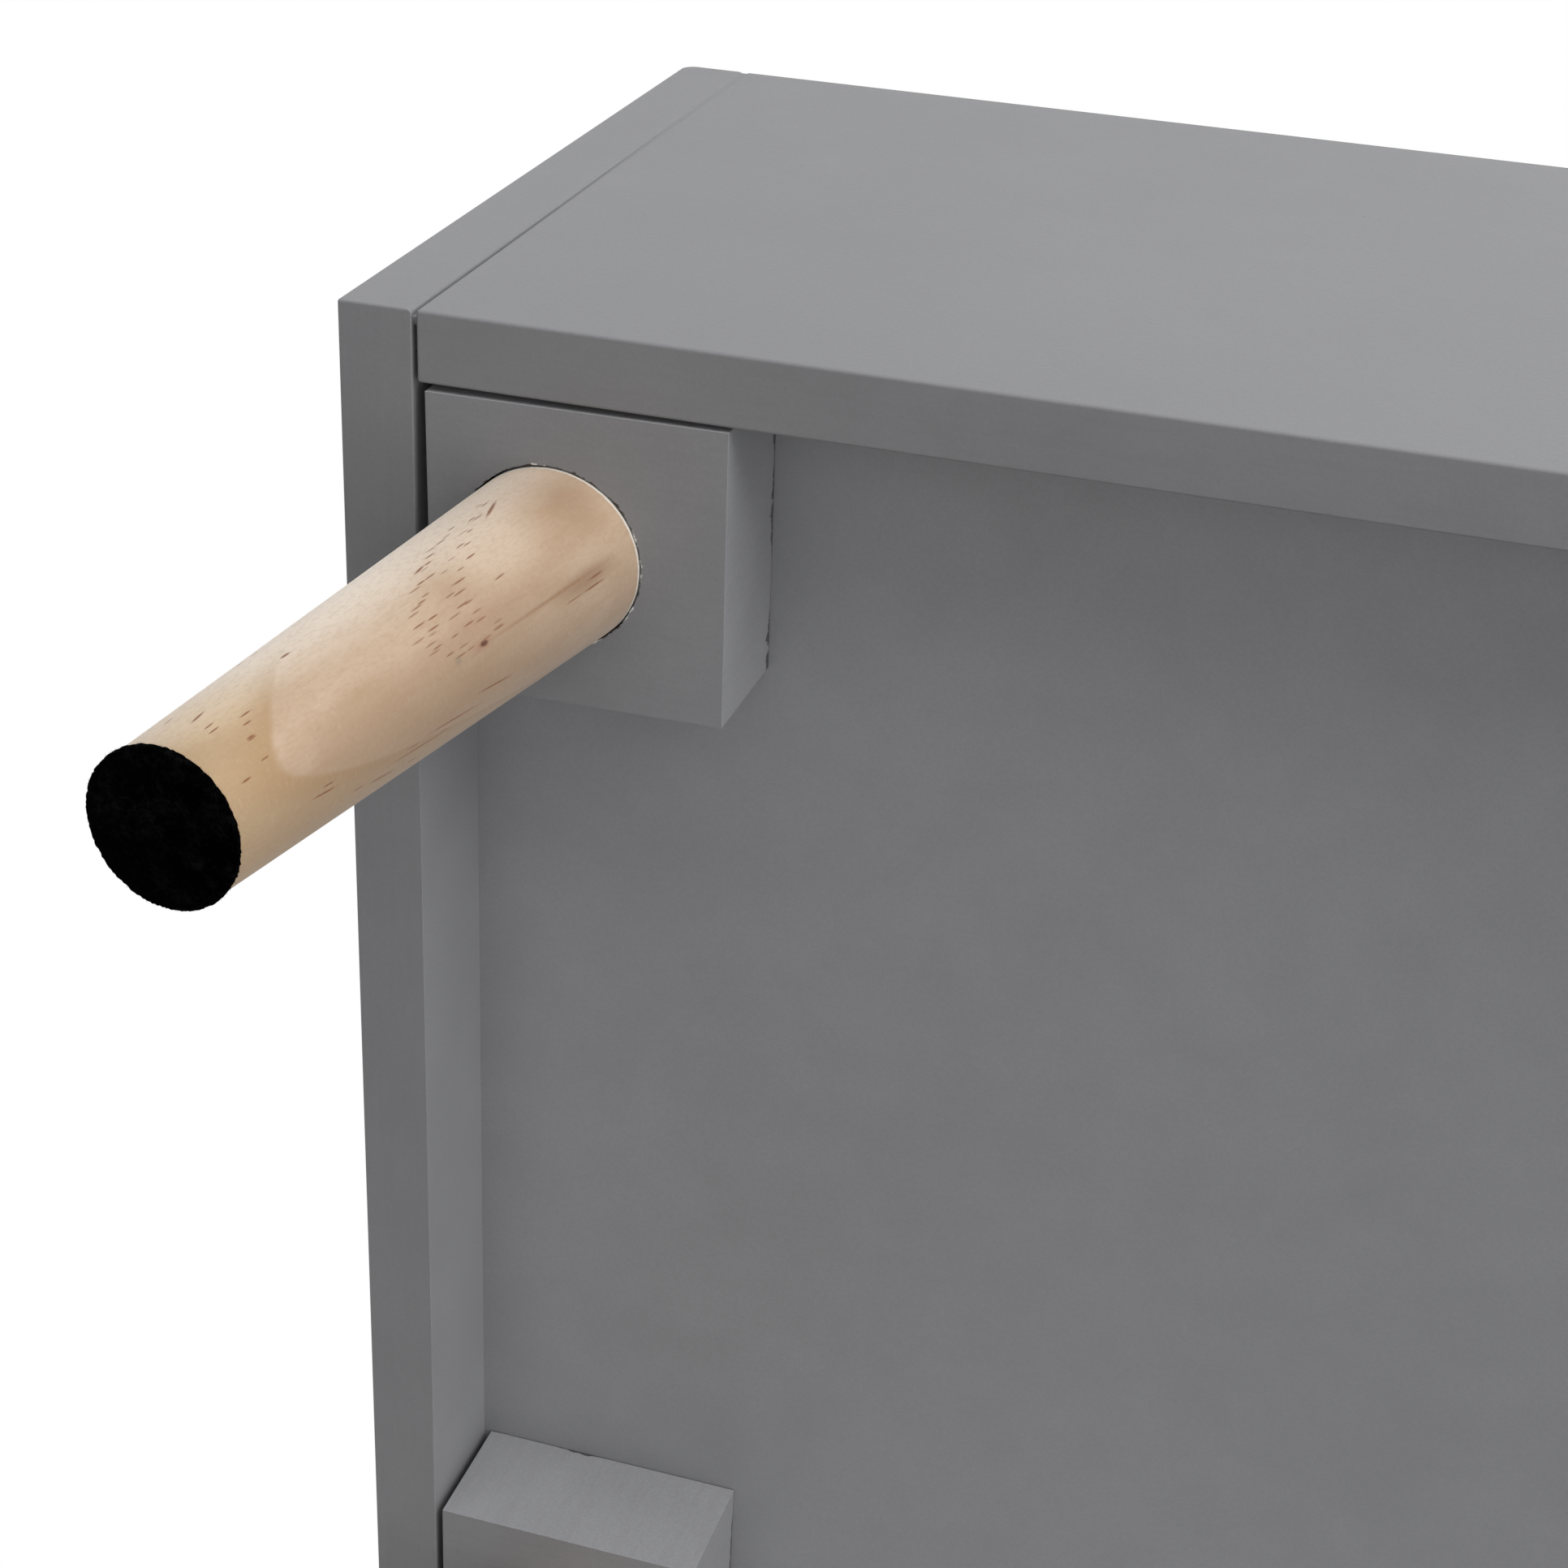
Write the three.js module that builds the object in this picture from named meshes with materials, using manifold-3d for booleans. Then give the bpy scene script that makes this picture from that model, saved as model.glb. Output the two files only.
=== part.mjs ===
// Toy chest of painted board, standing on four splayed round pine legs.
// Millimetres, +Z up, the floor at z = 0. Length runs along X and the front faces -Y.

import * as THREE from 'three';
import { mergeVertices } from 'three/addons/utils/BufferGeometryUtils.js';
import { RoundedBoxGeometry } from 'three/addons/geometries/RoundedBoxGeometry.js';
import Module from 'manifold-3d';

const wasm = await Module();
wasm.setup();

// Carcass boards
const chestLength = 914; // over both end panels
const chestDepth = 471; // front edge to rear edge of an end panel
const panelHeight = 255; // front, back and end panels alike
const frontThickness = 18;
const backThickness = 18;
const endThickness = 19;
const bottomThickness = 12;
const bottomRecess = 38; // panel bottom edges up to the underside of the bottom board
const boardRound = 0.9; // eased arrises of the front, back and end panels
const endJointGap = 0.9; // shadow line between an end panel and the front and back panels
const grooveDepth = 6; // how far the bottom board is housed in the panels
const seatGap = 0.3; // clearance between pieces that seat on each other

// Finger scoop in the front panel and hand holes in the end panels
const scoopWidth = 150;
const scoopDepth = 22;
const scoopFlare = 18; // radius that leads the scoop into the straight edge
const handHoleWidth = 100;
const handHoleHeight = 30;
const handHoleDrop = 62; // top edge of the end panel down to the middle of the hole

// Lid
const lidThickness = 18;
const lidSetback = 5; // how far the lid stays inside the front and end faces
const lidGap = 1.8; // shadow line between the panels and the closed lid
const lidRound = 3; // rounded arrises
const lidOpenAngle = 95; // degrees, where the stays stop it
const bumperRadius = 5;
const bumperInset = 60; // chest end to the middle of a bumper

// Butt hinges
const hingeLength = 76;
const hingeInset = 180; // chest end to the middle of a hinge
const knuckleCount = 5;
const knuckleRadius = 3.2;
const knuckleSideGap = 0.4;
const knuckleClearance = 0.4; // knuckles to the rear faces of lid and back panel
const barrelCover = 0.2; // how far the end panels reach past the knuckles
const hingePinRadius = 1.6;
const pinClearance = 0.1;
const pinHeadRadius = 2.6;
const pinHeadLength = 1.2;
const leafThickness = 1.2;
const leafMargin = 4; // bare board in front of a leaf
const leafScrewRadius = 1.9;
const leafScrewCount = 3;
const leafScrewInset = 12; // leaf end to the first screw

// Friction lid stays: a slotted arm hangs from the lid and slides over a stud on the end panel
const stayStudAngle = 34; // degrees below level, seen from the hinge axis
const stayPivotAngle = 6.4; // the same for the arm's pivot, with the lid closed
const stayFloorClearance = 17; // tail of the arm to the bottom board, with the lid closed
const stayMetal = 2; // plate, arm and bracket alike
const armWidth = 18;
const armFromWall = 3.3; // end panel's inner face to the arm
const slotEndGap = 1; // stud to the ends of the slot at the limits
const slotEndMetal = 7;
const studRadius = 4;
const studClearance = 0.4;
const studHeadRadius = 8;
const studHeadThickness = 3;
const studHeadGap = 0.7; // arm to the stud's head
const studPlateWidth = 20;
const studPlateHeight = 60;
const studPlateScrewInset = 9;
const pivotRadius = 2.5;
const pivotHeadRadius = 4.5;
const pivotHeadThickness = 1.7;
const bracketLength = 44;
const bracketWidth = 22;
const bracketScrewInset = 8;
const stayScrewRadius = 2.1;
const stayRunGap = 0.4; // side clearance between the stay's moving pieces

// Corner blocks and legs
const blockSize = 76.7;
const blockGapFront = 1.6; // block to the front or back panel
const blockGapEnd = 3.6; // block to the end panel
const blockRound = 0.6; // eased arrises
const splayAngle = 7.5; // degrees, outwards along the length
const socketOffset = 6.9; // socket mouth outwards from the middle of the block
const socketDepth = 20;
const socketClearance = 0.3;
const legMouthRadius = 23.2; // at the mouth of the socket, and in it
const legEndRadius = 17.55;
const legReach = 156.6; // along the leg, from the mouth of the socket to the end of the wood
const legEndRound = 0.8;
const legTopChamfer = 1.5;
const padRadius = 18.1;
const padThickness = 2.2;
const padFlat = 0.5; // felt pressed flat where the leaning pad meets the floor

// Leg bolts and the threaded inserts in the blocks
const boltRadius = 4;
const boltInLeg = 41;
const boltInBlock = 14;
const boltClearance = 0.3;
const boltTipRadius = 1.6;
const boltChamfer = 1;
const insertRadius = 6.5;
const insertLength = 14;
const insertFlangeRadius = 8;
const insertFlangeThickness = 1.5;

// Dowels and cam fittings that join the front and back panels to the end panels
const dowelRadius = 4;
const dowelChamfer = 1;
const dowelInEnd = 10;
const dowelInPanel = 20;
const dowelHeights = [80, 220]; // above the panels' bottom edges
const camHeight = 150;
const camRadius = 7.5;
const camDepth = 12.5;
const camSetback = 34; // panel end to the middle of the cam
const camBoltRadius = 3;
const camBoltNeckRadius = 2.2;
const camBoltInEnd = 11;
const camBoltHeadRadius = 3.4;
const camBoltHeadLength = 3;
const camSlotWidth = 8; // opening in the cam's side for the bolt's head
const camDriverWidth = 1.6; // crossed slot for the screwdriver
const camDriverLength = 8;
const camDriverDepth = 3;
const fittingClearance = 0.15;

// Places worked out from the sizes above
const splay = THREE.MathUtils.degToRad(splayAngle);
const padReach = legReach + seatGap + padThickness;
const edgeZ = padReach * Math.cos(splay) + padRadius * Math.sin(splay) - padFlat;
const topZ = edgeZ + panelHeight;
const bottomZ = edgeZ + bottomRecess;
const floorZ = bottomZ + bottomThickness;
const lidZ = topZ + lidGap;
const endX = chestLength / 2;
const innerX = endX - endThickness;
const panelEndX = innerX - endJointGap;
const frontY = -chestDepth / 2;
const frontInnerY = frontY + frontThickness;
const backRecess = 2 * knuckleRadius + knuckleClearance + barrelCover;
const backY = chestDepth / 2 - backRecess;
const backInnerY = backY - backThickness;
const frontMidY = frontY + frontThickness / 2;
const backMidY = backY - backThickness / 2;
const axisY = backY + knuckleClearance + knuckleRadius;
const axisZ = topZ + lidGap / 2;

const paint = { color: 0x858587, roughness: 0.55, metalness: 0 };
const pine = { color: 0xd9bd98, roughness: 0.6, metalness: 0 };
const felt = { color: 0x0b0b0c, roughness: 1, metalness: 0 };
const steel = { color: 0xa7a9ac, roughness: 0.35, metalness: 0.9 };
const beech = { color: 0xc9a877, roughness: 0.7, metalness: 0 };
const zinc = { color: 0x9c9ea0, roughness: 0.45, metalness: 0.8 };
const clearRubber = { color: 0xc8c8c4, roughness: 0.5, metalness: 0 };

const alongXBasis = new THREE.Matrix4().makeBasis(
  new THREE.Vector3(0, 1, 0),
  new THREE.Vector3(0, 0, 1),
  new THREE.Vector3(1, 0, 0),
);
const alongYBasis = new THREE.Matrix4().makeBasis(
  new THREE.Vector3(1, 0, 0),
  new THREE.Vector3(0, 0, 1),
  new THREE.Vector3(0, -1, 0),
);

// A closed geometry as a solid that can be joined and cut.
function solid(geometry) {
  const bare = geometry.clone();
  bare.deleteAttribute('normal');
  bare.deleteAttribute('uv');
  const merged = mergeVertices(bare, 1e-4);
  return new wasm.Manifold(new wasm.Mesh({
    numProp: 3,
    vertProperties: new Float32Array(merged.attributes.position.array),
    triVerts: new Uint32Array(merged.index.array),
  }));
}

// The first geometry with every cutter taken away from it.
function cut(geometry, cutters) {
  const left = cutters.reduce((body, cutter) => body.subtract(solid(cutter)), solid(geometry));
  return geometryOf(left);
}

// Several overlapping geometries as one body.
function join(geometries) {
  const bodies = geometries.map(solid);
  return geometryOf(bodies.reduce((body, next) => body.add(next)));
}

function geometryOf(body) {
  const mesh = body.getMesh();
  const geometry = new THREE.BufferGeometry();
  geometry.setAttribute('position', new THREE.BufferAttribute(mesh.vertProperties, 3));
  geometry.setIndex(new THREE.BufferAttribute(mesh.triVerts, 1));
  geometry.computeVertexNormals();
  return geometry;
}

function piece(name, geometry, look) {
  const mesh = new THREE.Mesh(geometry, new THREE.MeshStandardMaterial(look));
  mesh.name = name;
  return mesh;
}

// A box between two corners, with sharp edges.
function block(x0, x1, y0, y1, z0, z1) {
  const geometry = new THREE.BoxGeometry(x1 - x0, y1 - y0, z1 - z0);
  return geometry.translate((x0 + x1) / 2, (y0 + y1) / 2, (z0 + z1) / 2);
}

// The same box with eased edges.
function easedBoard(x0, x1, y0, y1, z0, z1, radius, segments = 1) {
  const geometry = new RoundedBoxGeometry(x1 - x0, y1 - y0, z1 - z0, segments, radius);
  return geometry.translate((x0 + x1) / 2, (y0 + y1) / 2, (z0 + z1) / 2);
}

// Round bars along each axis, from one end to the other.
function rodX(radius, x0, x1, y, z, sides = 12) {
  const geometry = new THREE.CylinderGeometry(radius, radius, x1 - x0, sides);
  return geometry.rotateZ(Math.PI / 2).translate((x0 + x1) / 2, y, z);
}

function rodY(radius, y0, y1, x, z, sides = 24) {
  const geometry = new THREE.CylinderGeometry(radius, radius, y1 - y0, sides);
  return geometry.translate(x, (y0 + y1) / 2, z);
}

function rodZ(radius, z0, z1, x, y, sides = 16) {
  const geometry = new THREE.CylinderGeometry(radius, radius, z1 - z0, sides);
  return geometry.rotateX(Math.PI / 2).translate(x, y, (z0 + z1) / 2);
}

// A turned form about Z from [radius, height] pairs that start and end on the axis.
function turned(profile, sides) {
  const points = profile.map(([radius, height]) => new THREE.Vector2(radius, height));
  return new THREE.LatheGeometry(points, sides).rotateX(Math.PI / 2);
}

// An outline in Y and Z given thickness along X.
function extrudeX(shape, x0, x1, curveSegments = 8) {
  const geometry = new THREE.ExtrudeGeometry(shape, { depth: x1 - x0, bevelEnabled: false, curveSegments });
  return geometry.applyMatrix4(alongXBasis).translate(x0, 0, 0);
}

// An outline in X and Z given thickness along Y.
function extrudeY(shape, y0, y1, curveSegments = 8) {
  const geometry = new THREE.ExtrudeGeometry(shape, { depth: y1 - y0, bevelEnabled: false, curveSegments });
  return geometry.applyMatrix4(alongYBasis).translate(0, y1, 0);
}

// A strip with round ends, its end centres at two points.
function roundEndedStrip(from, to, halfWidth) {
  const angle = Math.atan2(to.y - from.y, to.x - from.x);
  const quarter = Math.PI / 2;
  const shape = new THREE.Shape();
  shape.absarc(to.x, to.y, halfWidth, angle - quarter, angle + quarter, false);
  shape.absarc(from.x, from.y, halfWidth, angle + quarter, angle + 3 * quarter, false);
  shape.closePath();
  return shape;
}

// The groove that houses the bottom board, as a cutter that reaches the given box.
function bottomGroove(x0, x1, y0, y1) {
  return block(x0, x1, y0, y1, bottomZ - seatGap, floorZ + seatGap);
}

// The shallow finger scoop: a dip with flared shoulders, open at the panel's top edge.
function scoopShape() {
  const half = scoopWidth / 2;
  const above = topZ + lidGap;
  const low = topZ - scoopDepth;
  const shape = new THREE.Shape();
  shape.moveTo(-half - scoopFlare, above);
  shape.lineTo(-half - scoopFlare, topZ);
  shape.quadraticCurveTo(-half, topZ, -half + scoopFlare / 2, topZ - scoopDepth / 2);
  shape.quadraticCurveTo(-half + scoopFlare, low, -half + 2 * scoopFlare, low);
  shape.lineTo(half - 2 * scoopFlare, low);
  shape.quadraticCurveTo(half - scoopFlare, low, half - scoopFlare / 2, topZ - scoopDepth / 2);
  shape.quadraticCurveTo(half, topZ, half + scoopFlare, topZ);
  shape.lineTo(half + scoopFlare, above);
  shape.closePath();
  return shape;
}

// Holes for the dowels, cam bolt and cam in one end of the front or back panel.
// towardsInside is +1 where the inner face looks to +Y, and -1 where it looks to -Y.
function panelEndBores(side, midY, innerY, towardsInside) {
  const outer = side * (panelEndX + seatGap);
  const dowelStop = side * (panelEndX - dowelInPanel);
  const camX = side * (panelEndX - camSetback);
  const camFloorY = innerY - towardsInside * (camDepth + fittingClearance);
  const bores = dowelHeights.map((height) => rodX(
    dowelRadius + fittingClearance,
    Math.min(outer, dowelStop),
    Math.max(outer, dowelStop),
    midY,
    edgeZ + height,
  ));
  bores.push(rodX(
    camBoltHeadRadius + fittingClearance,
    Math.min(outer, camX),
    Math.max(outer, camX),
    midY,
    edgeZ + camHeight,
  ));
  bores.push(rodY(
    camRadius + fittingClearance,
    Math.min(camFloorY, innerY + towardsInside),
    Math.max(camFloorY, innerY + towardsInside),
    camX,
    edgeZ + camHeight,
  ));
  return bores;
}

function frontPanel() {
  const board = easedBoard(-panelEndX, panelEndX, frontY, frontInnerY, edgeZ, topZ, boardRound);
  return piece('front_panel', cut(board, [
    extrudeY(scoopShape(), frontY - 1, frontInnerY + 1),
    bottomGroove(-endX, endX, frontInnerY - grooveDepth, frontInnerY + 1),
    ...panelEndBores(-1, frontMidY, frontInnerY, 1),
    ...panelEndBores(1, frontMidY, frontInnerY, 1),
  ]), paint);
}

function backPanel() {
  const board = easedBoard(-panelEndX, panelEndX, backInnerY, backY, edgeZ, topZ, boardRound);
  const mortises = [-1, 1].map((side) => leafMortise(side, topZ - leafThickness - seatGap, topZ + 1));
  return piece('back_panel', cut(board, [
    bottomGroove(-endX, endX, backInnerY - 1, backInnerY + grooveDepth),
    ...mortises,
    ...panelEndBores(-1, backMidY, backInnerY, -1),
    ...panelEndBores(1, backMidY, backInnerY, -1),
  ]), paint);
}

function endPanel(name, side) {
  const outer = side * endX;
  const inner = side * innerX;
  const reach = (depth) => [inner + side * depth, inner - side].sort((a, b) => a - b);
  const board = easedBoard(
    Math.min(outer, inner),
    Math.max(outer, inner),
    -chestDepth / 2,
    chestDepth / 2,
    edgeZ,
    topZ,
    boardRound,
  );
  const holeZ = topZ - handHoleDrop;
  const holeRadius = handHoleHeight / 2;
  const holeEndY = handHoleWidth / 2 - holeRadius;
  const handHole = roundEndedStrip(
    new THREE.Vector2(-holeEndY, holeZ),
    new THREE.Vector2(holeEndY, holeZ),
    holeRadius,
  );
  const cutters = [
    extrudeX(handHole, Math.min(outer, inner) - 1, Math.max(outer, inner) + 1),
    bottomGroove(
      ...reach(grooveDepth),
      frontInnerY - grooveDepth - seatGap,
      backInnerY + grooveDepth + seatGap,
    ),
  ];
  for (const midY of [frontMidY, backMidY]) {
    for (const height of dowelHeights) {
      const [x0, x1] = reach(dowelInEnd);
      cutters.push(rodX(dowelRadius + fittingClearance, x0, x1, midY, edgeZ + height));
    }
    const [x0, x1] = reach(camBoltInEnd);
    cutters.push(rodX(camBoltRadius + fittingClearance, x0, x1, midY, edgeZ + camHeight));
  }
  return piece(name, cut(board, cutters), paint);
}

function bottomBoard() {
  const housed = grooveDepth - seatGap;
  const board = block(
    -innerX - housed,
    innerX + housed,
    frontInnerY - housed,
    backInnerY + housed,
    bottomZ,
    floorZ,
  );
  return piece('bottom_board', board, paint);
}

// Dowels, cams and cam bolts of the four upright corners.
function cornerFittings() {
  const fittings = new THREE.Group();
  const rows = [
    { row: 'front', midY: frontMidY, innerY: frontInnerY, towardsInside: 1 },
    { row: 'back', midY: backMidY, innerY: backInnerY, towardsInside: -1 },
  ];
  for (const { row, midY, innerY, towardsInside } of rows) {
    for (const [hand, side] of [['left', -1], ['right', 1]]) {
      const label = `${row}_${hand}`;
      dowelHeights.forEach((height, i) => {
        const dowel = piece(`${label}_dowel_${i + 1}`, dowelForm(), beech);
        dowel.position.set(side * innerX, midY, edgeZ + height);
        dowel.rotation.y = side * Math.PI / 2;
        fittings.add(dowel);
      });
      const bolt = piece(`${label}_cam_bolt`, camBoltForm(), zinc);
      bolt.position.set(side * innerX, midY, edgeZ + camHeight);
      bolt.rotation.y = side * Math.PI / 2;
      fittings.add(bolt);
      const cam = piece(`${label}_cam`, camForm(side, midY - innerY, towardsInside), zinc);
      cam.position.set(side * (panelEndX - camSetback), innerY, edgeZ + camHeight);
      fittings.add(cam);
    }
  }
  return fittings;
}

// A beech dowel about Z, its joint plane at z = 0 and the end panel's share above it.
function dowelForm() {
  const top = dowelInEnd - seatGap;
  const bottom = -endJointGap - dowelInPanel + seatGap;
  return turned([
    [0, bottom],
    [dowelRadius - dowelChamfer, bottom],
    [dowelRadius, bottom + dowelChamfer],
    [dowelRadius, top - dowelChamfer],
    [dowelRadius - dowelChamfer, top],
    [0, top],
  ], 10);
}

// A cam bolt about Z: screwed into the end panel above z = 0, its head inside the cam.
function camBoltForm() {
  const head = -endJointGap - camSetback + camBoltHeadLength / 2;
  return turned([
    [0, head - camBoltHeadLength],
    [camBoltHeadRadius, head - camBoltHeadLength],
    [camBoltHeadRadius, head],
    [camBoltNeckRadius, head],
    [camBoltNeckRadius, head + camBoltHeadLength],
    [camBoltRadius, head + camBoltHeadLength + 1],
    [camBoltRadius, camBoltInEnd - seatGap],
    [0, camBoltInEnd - seatGap],
  ], 12);
}

// A round cam about Y from the panel's inner face at y = 0, open at the side for the bolt's head.
function camForm(side, boltY, towardsInside) {
  const deep = -towardsInside * camDepth;
  const bodyY = [deep, 0].sort((a, b) => a - b);
  const driverHalf = camDriverWidth / 2;
  const driverReach = camDriverLength / 2;
  const driverY = [-towardsInside * camDriverDepth, towardsInside].sort((a, b) => a - b);
  const slotX = [-side * camBoltHeadLength, side * (camRadius + 1)].sort((a, b) => a - b);
  const slotHalf = camSlotWidth / 2;
  return cut(rodY(camRadius, ...bodyY, 0, 0), [
    block(...slotX, boltY - slotHalf, boltY + slotHalf, -slotHalf, slotHalf),
    block(-driverReach, driverReach, ...driverY, -driverHalf, driverHalf),
    block(-driverHalf, driverHalf, ...driverY, -driverReach, driverReach),
  ]);
}

// The pocket for one hinge leaf, in the back panel's top edge or the lid's underside.
function leafMortise(side, z0, z1) {
  const middle = side * (endX - hingeInset);
  const half = hingeLength / 2 + seatGap;
  return block(middle - half, middle + half, backInnerY + leafMargin - seatGap, backY + 1, z0, z1);
}

function lid() {
  const board = easedBoard(
    -endX + lidSetback,
    endX - lidSetback,
    frontY + lidSetback,
    backY,
    lidZ,
    lidZ + lidThickness,
    lidRound,
    2,
  );
  const mortises = [-1, 1].map((side) => leafMortise(side, lidZ - 1, lidZ + leafThickness + seatGap));
  return piece('lid', cut(board, mortises), paint);
}

function lidBumpers() {
  const bumpers = new THREE.Group();
  for (const [hand, side] of [['left', -1], ['right', 1]]) {
    const bumper = piece(
      `${hand}_lid_bumper`,
      rodZ(bumperRadius, seatGap, lidGap - seatGap, 0, 0),
      clearRubber,
    );
    bumper.position.set(side * (endX - bumperInset), frontMidY, topZ);
    bumpers.add(bumper);
  }
  return bumpers;
}

// One leaf of a butt hinge about its axis at y = 0, z = 0, reaching towards -Y.
// up is -1 for the leaf in the back panel and +1 for the leaf in the lid.
function hingeLeaf(up, ownsKnuckle) {
  const half = hingeLength / 2;
  const pitch = hingeLength / knuckleCount;
  const nearZ = up * lidGap / 2;
  const farZ = up * (lidGap / 2 + leafThickness);
  const frontEdge = -(axisY - backInnerY - leafMargin);
  const plate = block(-half, half, frontEdge, 0, Math.min(nearZ, farZ), Math.max(nearZ, farZ));
  const parts = [plate];
  const cutters = [];
  const swept = knuckleRadius + knuckleClearance / 2;
  for (let i = 0; i < knuckleCount; i += 1) {
    const x0 = -half + i * pitch;
    const x1 = x0 + pitch;
    if (ownsKnuckle(i)) {
      const from = i === 0 ? x0 : x0 + knuckleSideGap / 2;
      const to = i === knuckleCount - 1 ? x1 : x1 - knuckleSideGap / 2;
      parts.push(rodX(knuckleRadius, from, to, 0, 0, 16));
    } else {
      const from = i === 0 ? x0 - 1 : x0 - knuckleSideGap / 2;
      const to = i === knuckleCount - 1 ? x1 + 1 : x1 + knuckleSideGap / 2;
      cutters.push(block(from, to, -swept, swept, -swept, swept));
    }
  }
  cutters.push(rodX(hingePinRadius + pinClearance, -half - 1, half + 1, 0, 0));
  const screwSpan = hingeLength - 2 * leafScrewInset;
  const screwY = (frontEdge - knuckleRadius) / 2;
  for (let i = 0; i < leafScrewCount; i += 1) {
    const x = -screwSpan / 2 + (i * screwSpan) / (leafScrewCount - 1);
    cutters.push(rodZ(leafScrewRadius, -knuckleRadius * 2, knuckleRadius * 2, x, screwY, 10));
  }
  return cut(join(parts), cutters);
}

// A plain hinge pin with a small head at each end.
function hingePinForm() {
  const half = hingeLength / 2 + knuckleSideGap / 2;
  return turned([
    [0, -half - pinHeadLength],
    [pinHeadRadius, -half - pinHeadLength],
    [pinHeadRadius, -half],
    [hingePinRadius, -half],
    [hingePinRadius, half],
    [pinHeadRadius, half],
    [pinHeadRadius, half + pinHeadLength],
    [0, half + pinHeadLength],
  ], 14).rotateY(Math.PI / 2);
}

function hinges() {
  const pair = new THREE.Group();
  for (const [hand, side] of [['left', -1], ['right', 1]]) {
    const hinge = new THREE.Group();
    hinge.position.set(side * (endX - hingeInset), axisY, axisZ);
    hinge.add(piece(`${hand}_hinge_back_leaf`, hingeLeaf(-1, (i) => i % 2 === 0), steel));
    hinge.add(piece(`${hand}_hinge_lid_leaf`, hingeLeaf(1, (i) => i % 2 === 1), steel));
    hinge.add(piece(`${hand}_hinge_pin`, hingePinForm(), steel));
    pair.add(hinge);
  }
  return pair;
}

// The stay's three points. The arm's pivot on the lid and the stud on the end panel lie at one
// distance from the hinge axis, so the arm always turns half as far as the lid.
function stayLayout() {
  const studAngle = THREE.MathUtils.degToRad(stayStudAngle);
  const pivotAngle = THREE.MathUtils.degToRad(stayPivotAngle);
  const openAngle = THREE.MathUtils.degToRad(lidOpenAngle);
  const closedSpread = studAngle - pivotAngle;
  const lean = (studAngle + pivotAngle) / 2;
  const openShare = 2 * Math.sin((closedSpread + openAngle) / 2);
  const slotEnd = studRadius + studClearance + slotEndGap;
  const tail = slotEnd + slotEndMetal;
  const depth = axisZ - floorZ - stayFloorClearance - tail * Math.cos(lean);
  const reach = depth / (Math.sin(pivotAngle) + openShare * Math.cos(lean));
  const at = (angle) => new THREE.Vector2(
    axisY - reach * Math.cos(angle),
    axisZ - reach * Math.sin(angle),
  );
  return {
    pivot: at(pivotAngle),
    stud: at(studAngle),
    closedLength: 2 * reach * Math.sin(closedSpread / 2),
    openLength: reach * openShare,
    slotEnd,
    tail,
  };
}

// The slotted arm, drawn with the lid closed.
function stayArmForm(x0, x1) {
  const { pivot, stud, closedLength, openLength, slotEnd, tail } = stayLayout();
  const along = stud.clone().sub(pivot).normalize();
  const on = (distance) => pivot.clone().addScaledVector(along, distance);
  const slotHalf = studRadius + studClearance;
  const halfWidth = armWidth / 2;
  const shape = roundEndedStrip(pivot, on(openLength + tail - halfWidth), halfWidth);
  const slotFrom = on(closedLength - slotEnd + slotHalf);
  const slotTo = on(openLength + slotEnd - slotHalf);
  return cut(extrudeX(shape, x0, x1), [
    extrudeX(roundEndedStrip(slotFrom, slotTo, slotHalf), x0 - 1, x1 + 1),
    rodX(pivotRadius + seatGap, x0 - 1, x1 + 1, pivot.x, pivot.y),
  ]);
}

// The lid's bracket: a plate under the lid with an ear that holds the arm's pivot.
function stayBracketForm(ear0, ear1, plateEnd) {
  const { pivot } = stayLayout();
  const halfWidth = armWidth / 2;
  const plateTop = lidZ - seatGap;
  const plateBottom = plateTop - stayMetal;
  const ear = new THREE.Shape();
  ear.moveTo(pivot.x - halfWidth, plateTop);
  ear.absarc(pivot.x, pivot.y, halfWidth, Math.PI, 2 * Math.PI, false);
  ear.lineTo(pivot.x + halfWidth, plateTop);
  ear.closePath();
  const x0 = Math.min(ear0, plateEnd);
  const x1 = Math.max(ear1, plateEnd);
  const y0 = pivot.x - bracketLength / 2;
  const y1 = pivot.x + bracketLength / 2;
  const screwX = (x0 + x1) / 2;
  return cut(join([block(x0, x1, y0, y1, plateBottom, plateTop), extrudeX(ear, ear0, ear1)]), [
    rodX(pivotRadius + seatGap, x0 - 1, x1 + 1, pivot.x, pivot.y),
    rodZ(stayScrewRadius, plateBottom - 1, plateTop + 1, screwX, y0 + bracketScrewInset, 10),
    rodZ(stayScrewRadius, plateBottom - 1, plateTop + 1, screwX, y1 - bracketScrewInset, 10),
  ]);
}

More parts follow.
